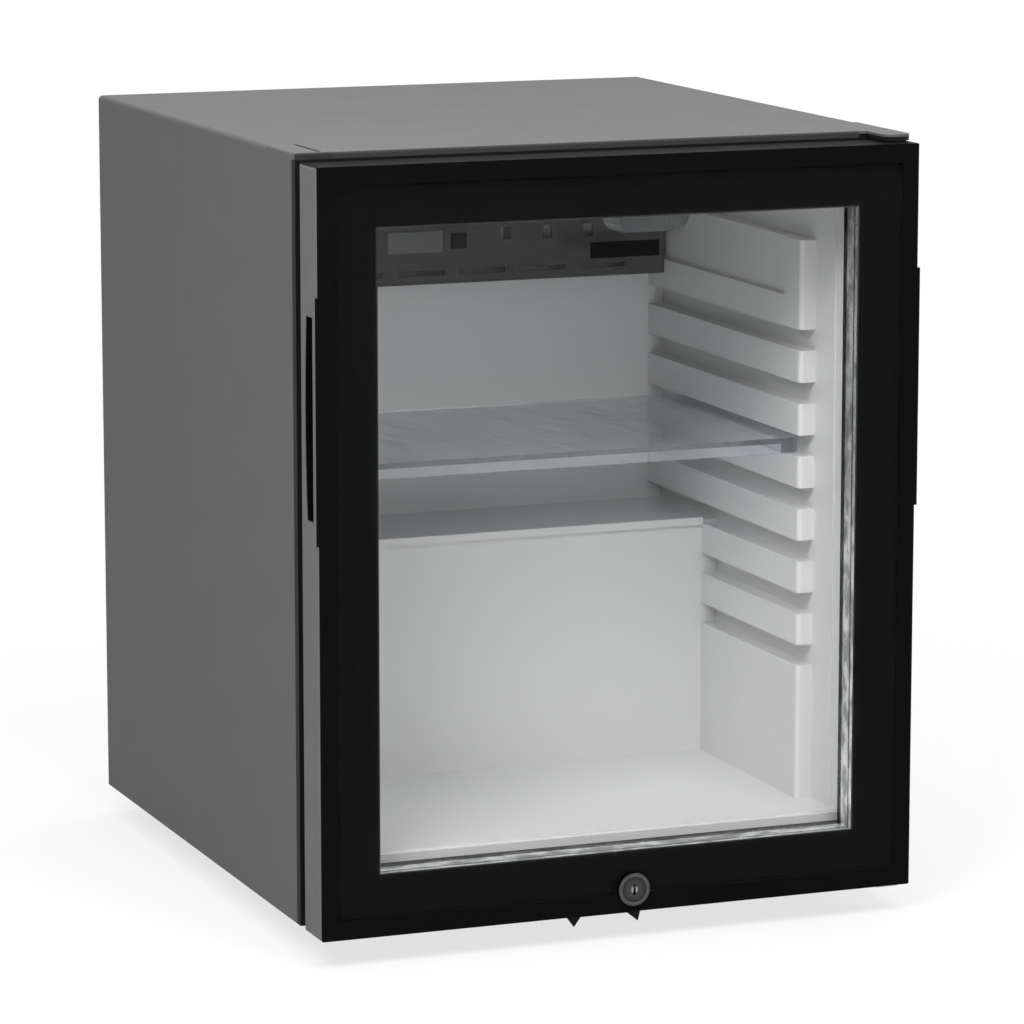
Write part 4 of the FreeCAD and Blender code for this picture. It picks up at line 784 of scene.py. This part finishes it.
def lamp(name, place, target, width, power, mirrored=True):
    """Square lamp that faces its target. The glass mirrors it, unless mirrored is off."""
    light = bpy.data.lights.new(name, "AREA")
    light.shape = "SQUARE"
    light.size = width
    light.energy = power
    lamp_object = bpy.data.objects.new(name, light)
    bpy.context.scene.collection.objects.link(lamp_object)
    lamp_object.location = place
    lamp_object.visible_glossy = mirrored
    direction = Vector(target) - Vector(place)
    lamp_object.rotation_euler = direction.to_track_quat("-Z", "Y").to_euler()


def lights():
    middle = (0.0, 0.0, 0.25)
    lamp("left_lamp", (-1.0, -1.15, 1.45), middle, 0.8, 25.0, mirrored=False)
    lamp("front_lamp", (0.1, -1.45, 2.2), middle, 1.2, 31.0, mirrored=False)
    lamp("low_lamp", (-0.1, -2.3, 0.75), middle, 0.8, 4.5, mirrored=False)
    lamp("top_lamp", (0.0, 0.3, 2.3), (0.0, 0.0, 0.5), 1.2, 23.0)
    lamp("back_lamp", (2.2, 1.4, 1.2), middle, 1.4, 18.0)


def camera():
    data = bpy.data.cameras.new("camera")
    data.sensor_width = 36.0
    data.lens = CAMERA_LENS
    data.clip_end = 100.0
    viewer = bpy.data.objects.new("camera", data)
    bpy.context.scene.collection.objects.link(viewer)
    viewer.location = CAMERA_PLACE
    viewer.rotation_euler = (math.radians(90.0 + CAMERA_PITCH), 0.0, math.radians(CAMERA_YAW))
    bpy.context.scene.camera = viewer


def dress_nodes():
    """Give each node of the frame its finish."""
    black = black_enamel()
    spangle = spangled_steel("spangled_steel")
    zinc = plated_steel("zinc_steel", (0.42, 0.425, 0.43), (0.62, 0.62, 0.61))
    liner = liner_plastic()
    unit = unit_paint()
    lacquer_box = box_plastic()
    drain = drain_plastic()
    bush = nylon()
    lock_rings = (
        (0.0, 0.04), (0.55, 0.035), (0.60, 0.06), (0.66, 0.035),
        (0.83, 0.04), (0.87, 0.11), (1.0, 0.07),
    )
    plug_rings = ((0.0, 0.42), (0.16, 0.34), (0.26, 0.06), (1.0, 0.04))
    finishes = {
        # The cabinet's black hem band is partly painted shade of the gap behind the door.
        "outer_shell": charcoal_paint("charcoal_paint", hem_black_and_shade, 0.008),
        "base_panel": charcoal_paint("base_paint", base_front, 0.008),
        "rear_wall": spangle, "insulation": rigid_foam(),
        "inner_liner": liner, "liner_step": liner, "shelf_supports": liner,
        # The trim's darker front is painted shade.
        "top_trim": charcoal_paint("trim_paint", trim_front_shade, 0.040),
        # The cap's dark slit and darker front are painted shade.
        "blank_cap": charcoal_paint("cap_paint", cap_front_and_slit_shade, 0.030),
        "hinge_cover": charcoal_paint("hinge_cover_paint"), "top_hinge": black, "top_hinge_screws": zinc,
        "bottom_hinge": zinc, "bottom_hinge_screws": zinc, "feet": foot_plastic(),
        "lock_strike": black, "strike_screws": zinc, "cooling_cover": cover_plastic(),
        "panel_lens": frosted_lens(), "lamp_board": circuit_board(), "light_button": button_plastic(),
        "evaporator": fin_aluminium(), "lamp_holder": lamp_plastic(), "lamp_lens": ribbed_lens(),
        "shelf": shelf_plastic(), "upper_strap": spangle, "lower_strap": spangle,
        "absorber_vessel": unit, "return_tube": unit, "boiler_case": spangled_steel("boiler_sheet"),
        "heater": zinc, "condenser_tube": unit, "condenser_fins": unit, "absorber_coil": unit,
        "port_cover": spangle, "control_box": lacquer_box, "power_inlet": lacquer_box,
        "drain_tube": drain, "drip_tray": drain, "door_frame": door_plastic(),
        "front_glass": front_glass(), "border_print": black_print(), "glass_badge": badge_lacquer(),
        "spacer_bar": spacer_aluminium(), "rear_glass": inner_glass(),
        "pane_retainer": retainer_plastic(), "gasket": seal_rubber(),
        "upper_bush": bush, "lower_bush": bush,
        "lock_housing": dark_chrome("lock_chrome", *lock_rings),
        "lock_plug": dark_chrome("plug_chrome", *plug_rings),
        "lock_nut": zinc, "lock_cam": zinc, "cam_screw": zinc,
    }
    for name, node in nodes.items():
        material = finishes[name]
        if not node.material_slots:
            node.data.materials.append(material)
        for slot in node.material_slots:
            slot.material = material
    return finishes


camera()
floor()
backdrop()
lights()
finishes = dress_nodes()
door_seal(finishes["gasket"])
window_plate(finishes["glass_badge"])
screw_heads(finishes["strike_screws"])
bpy.context.scene.view_settings.view_transform = "Standard"
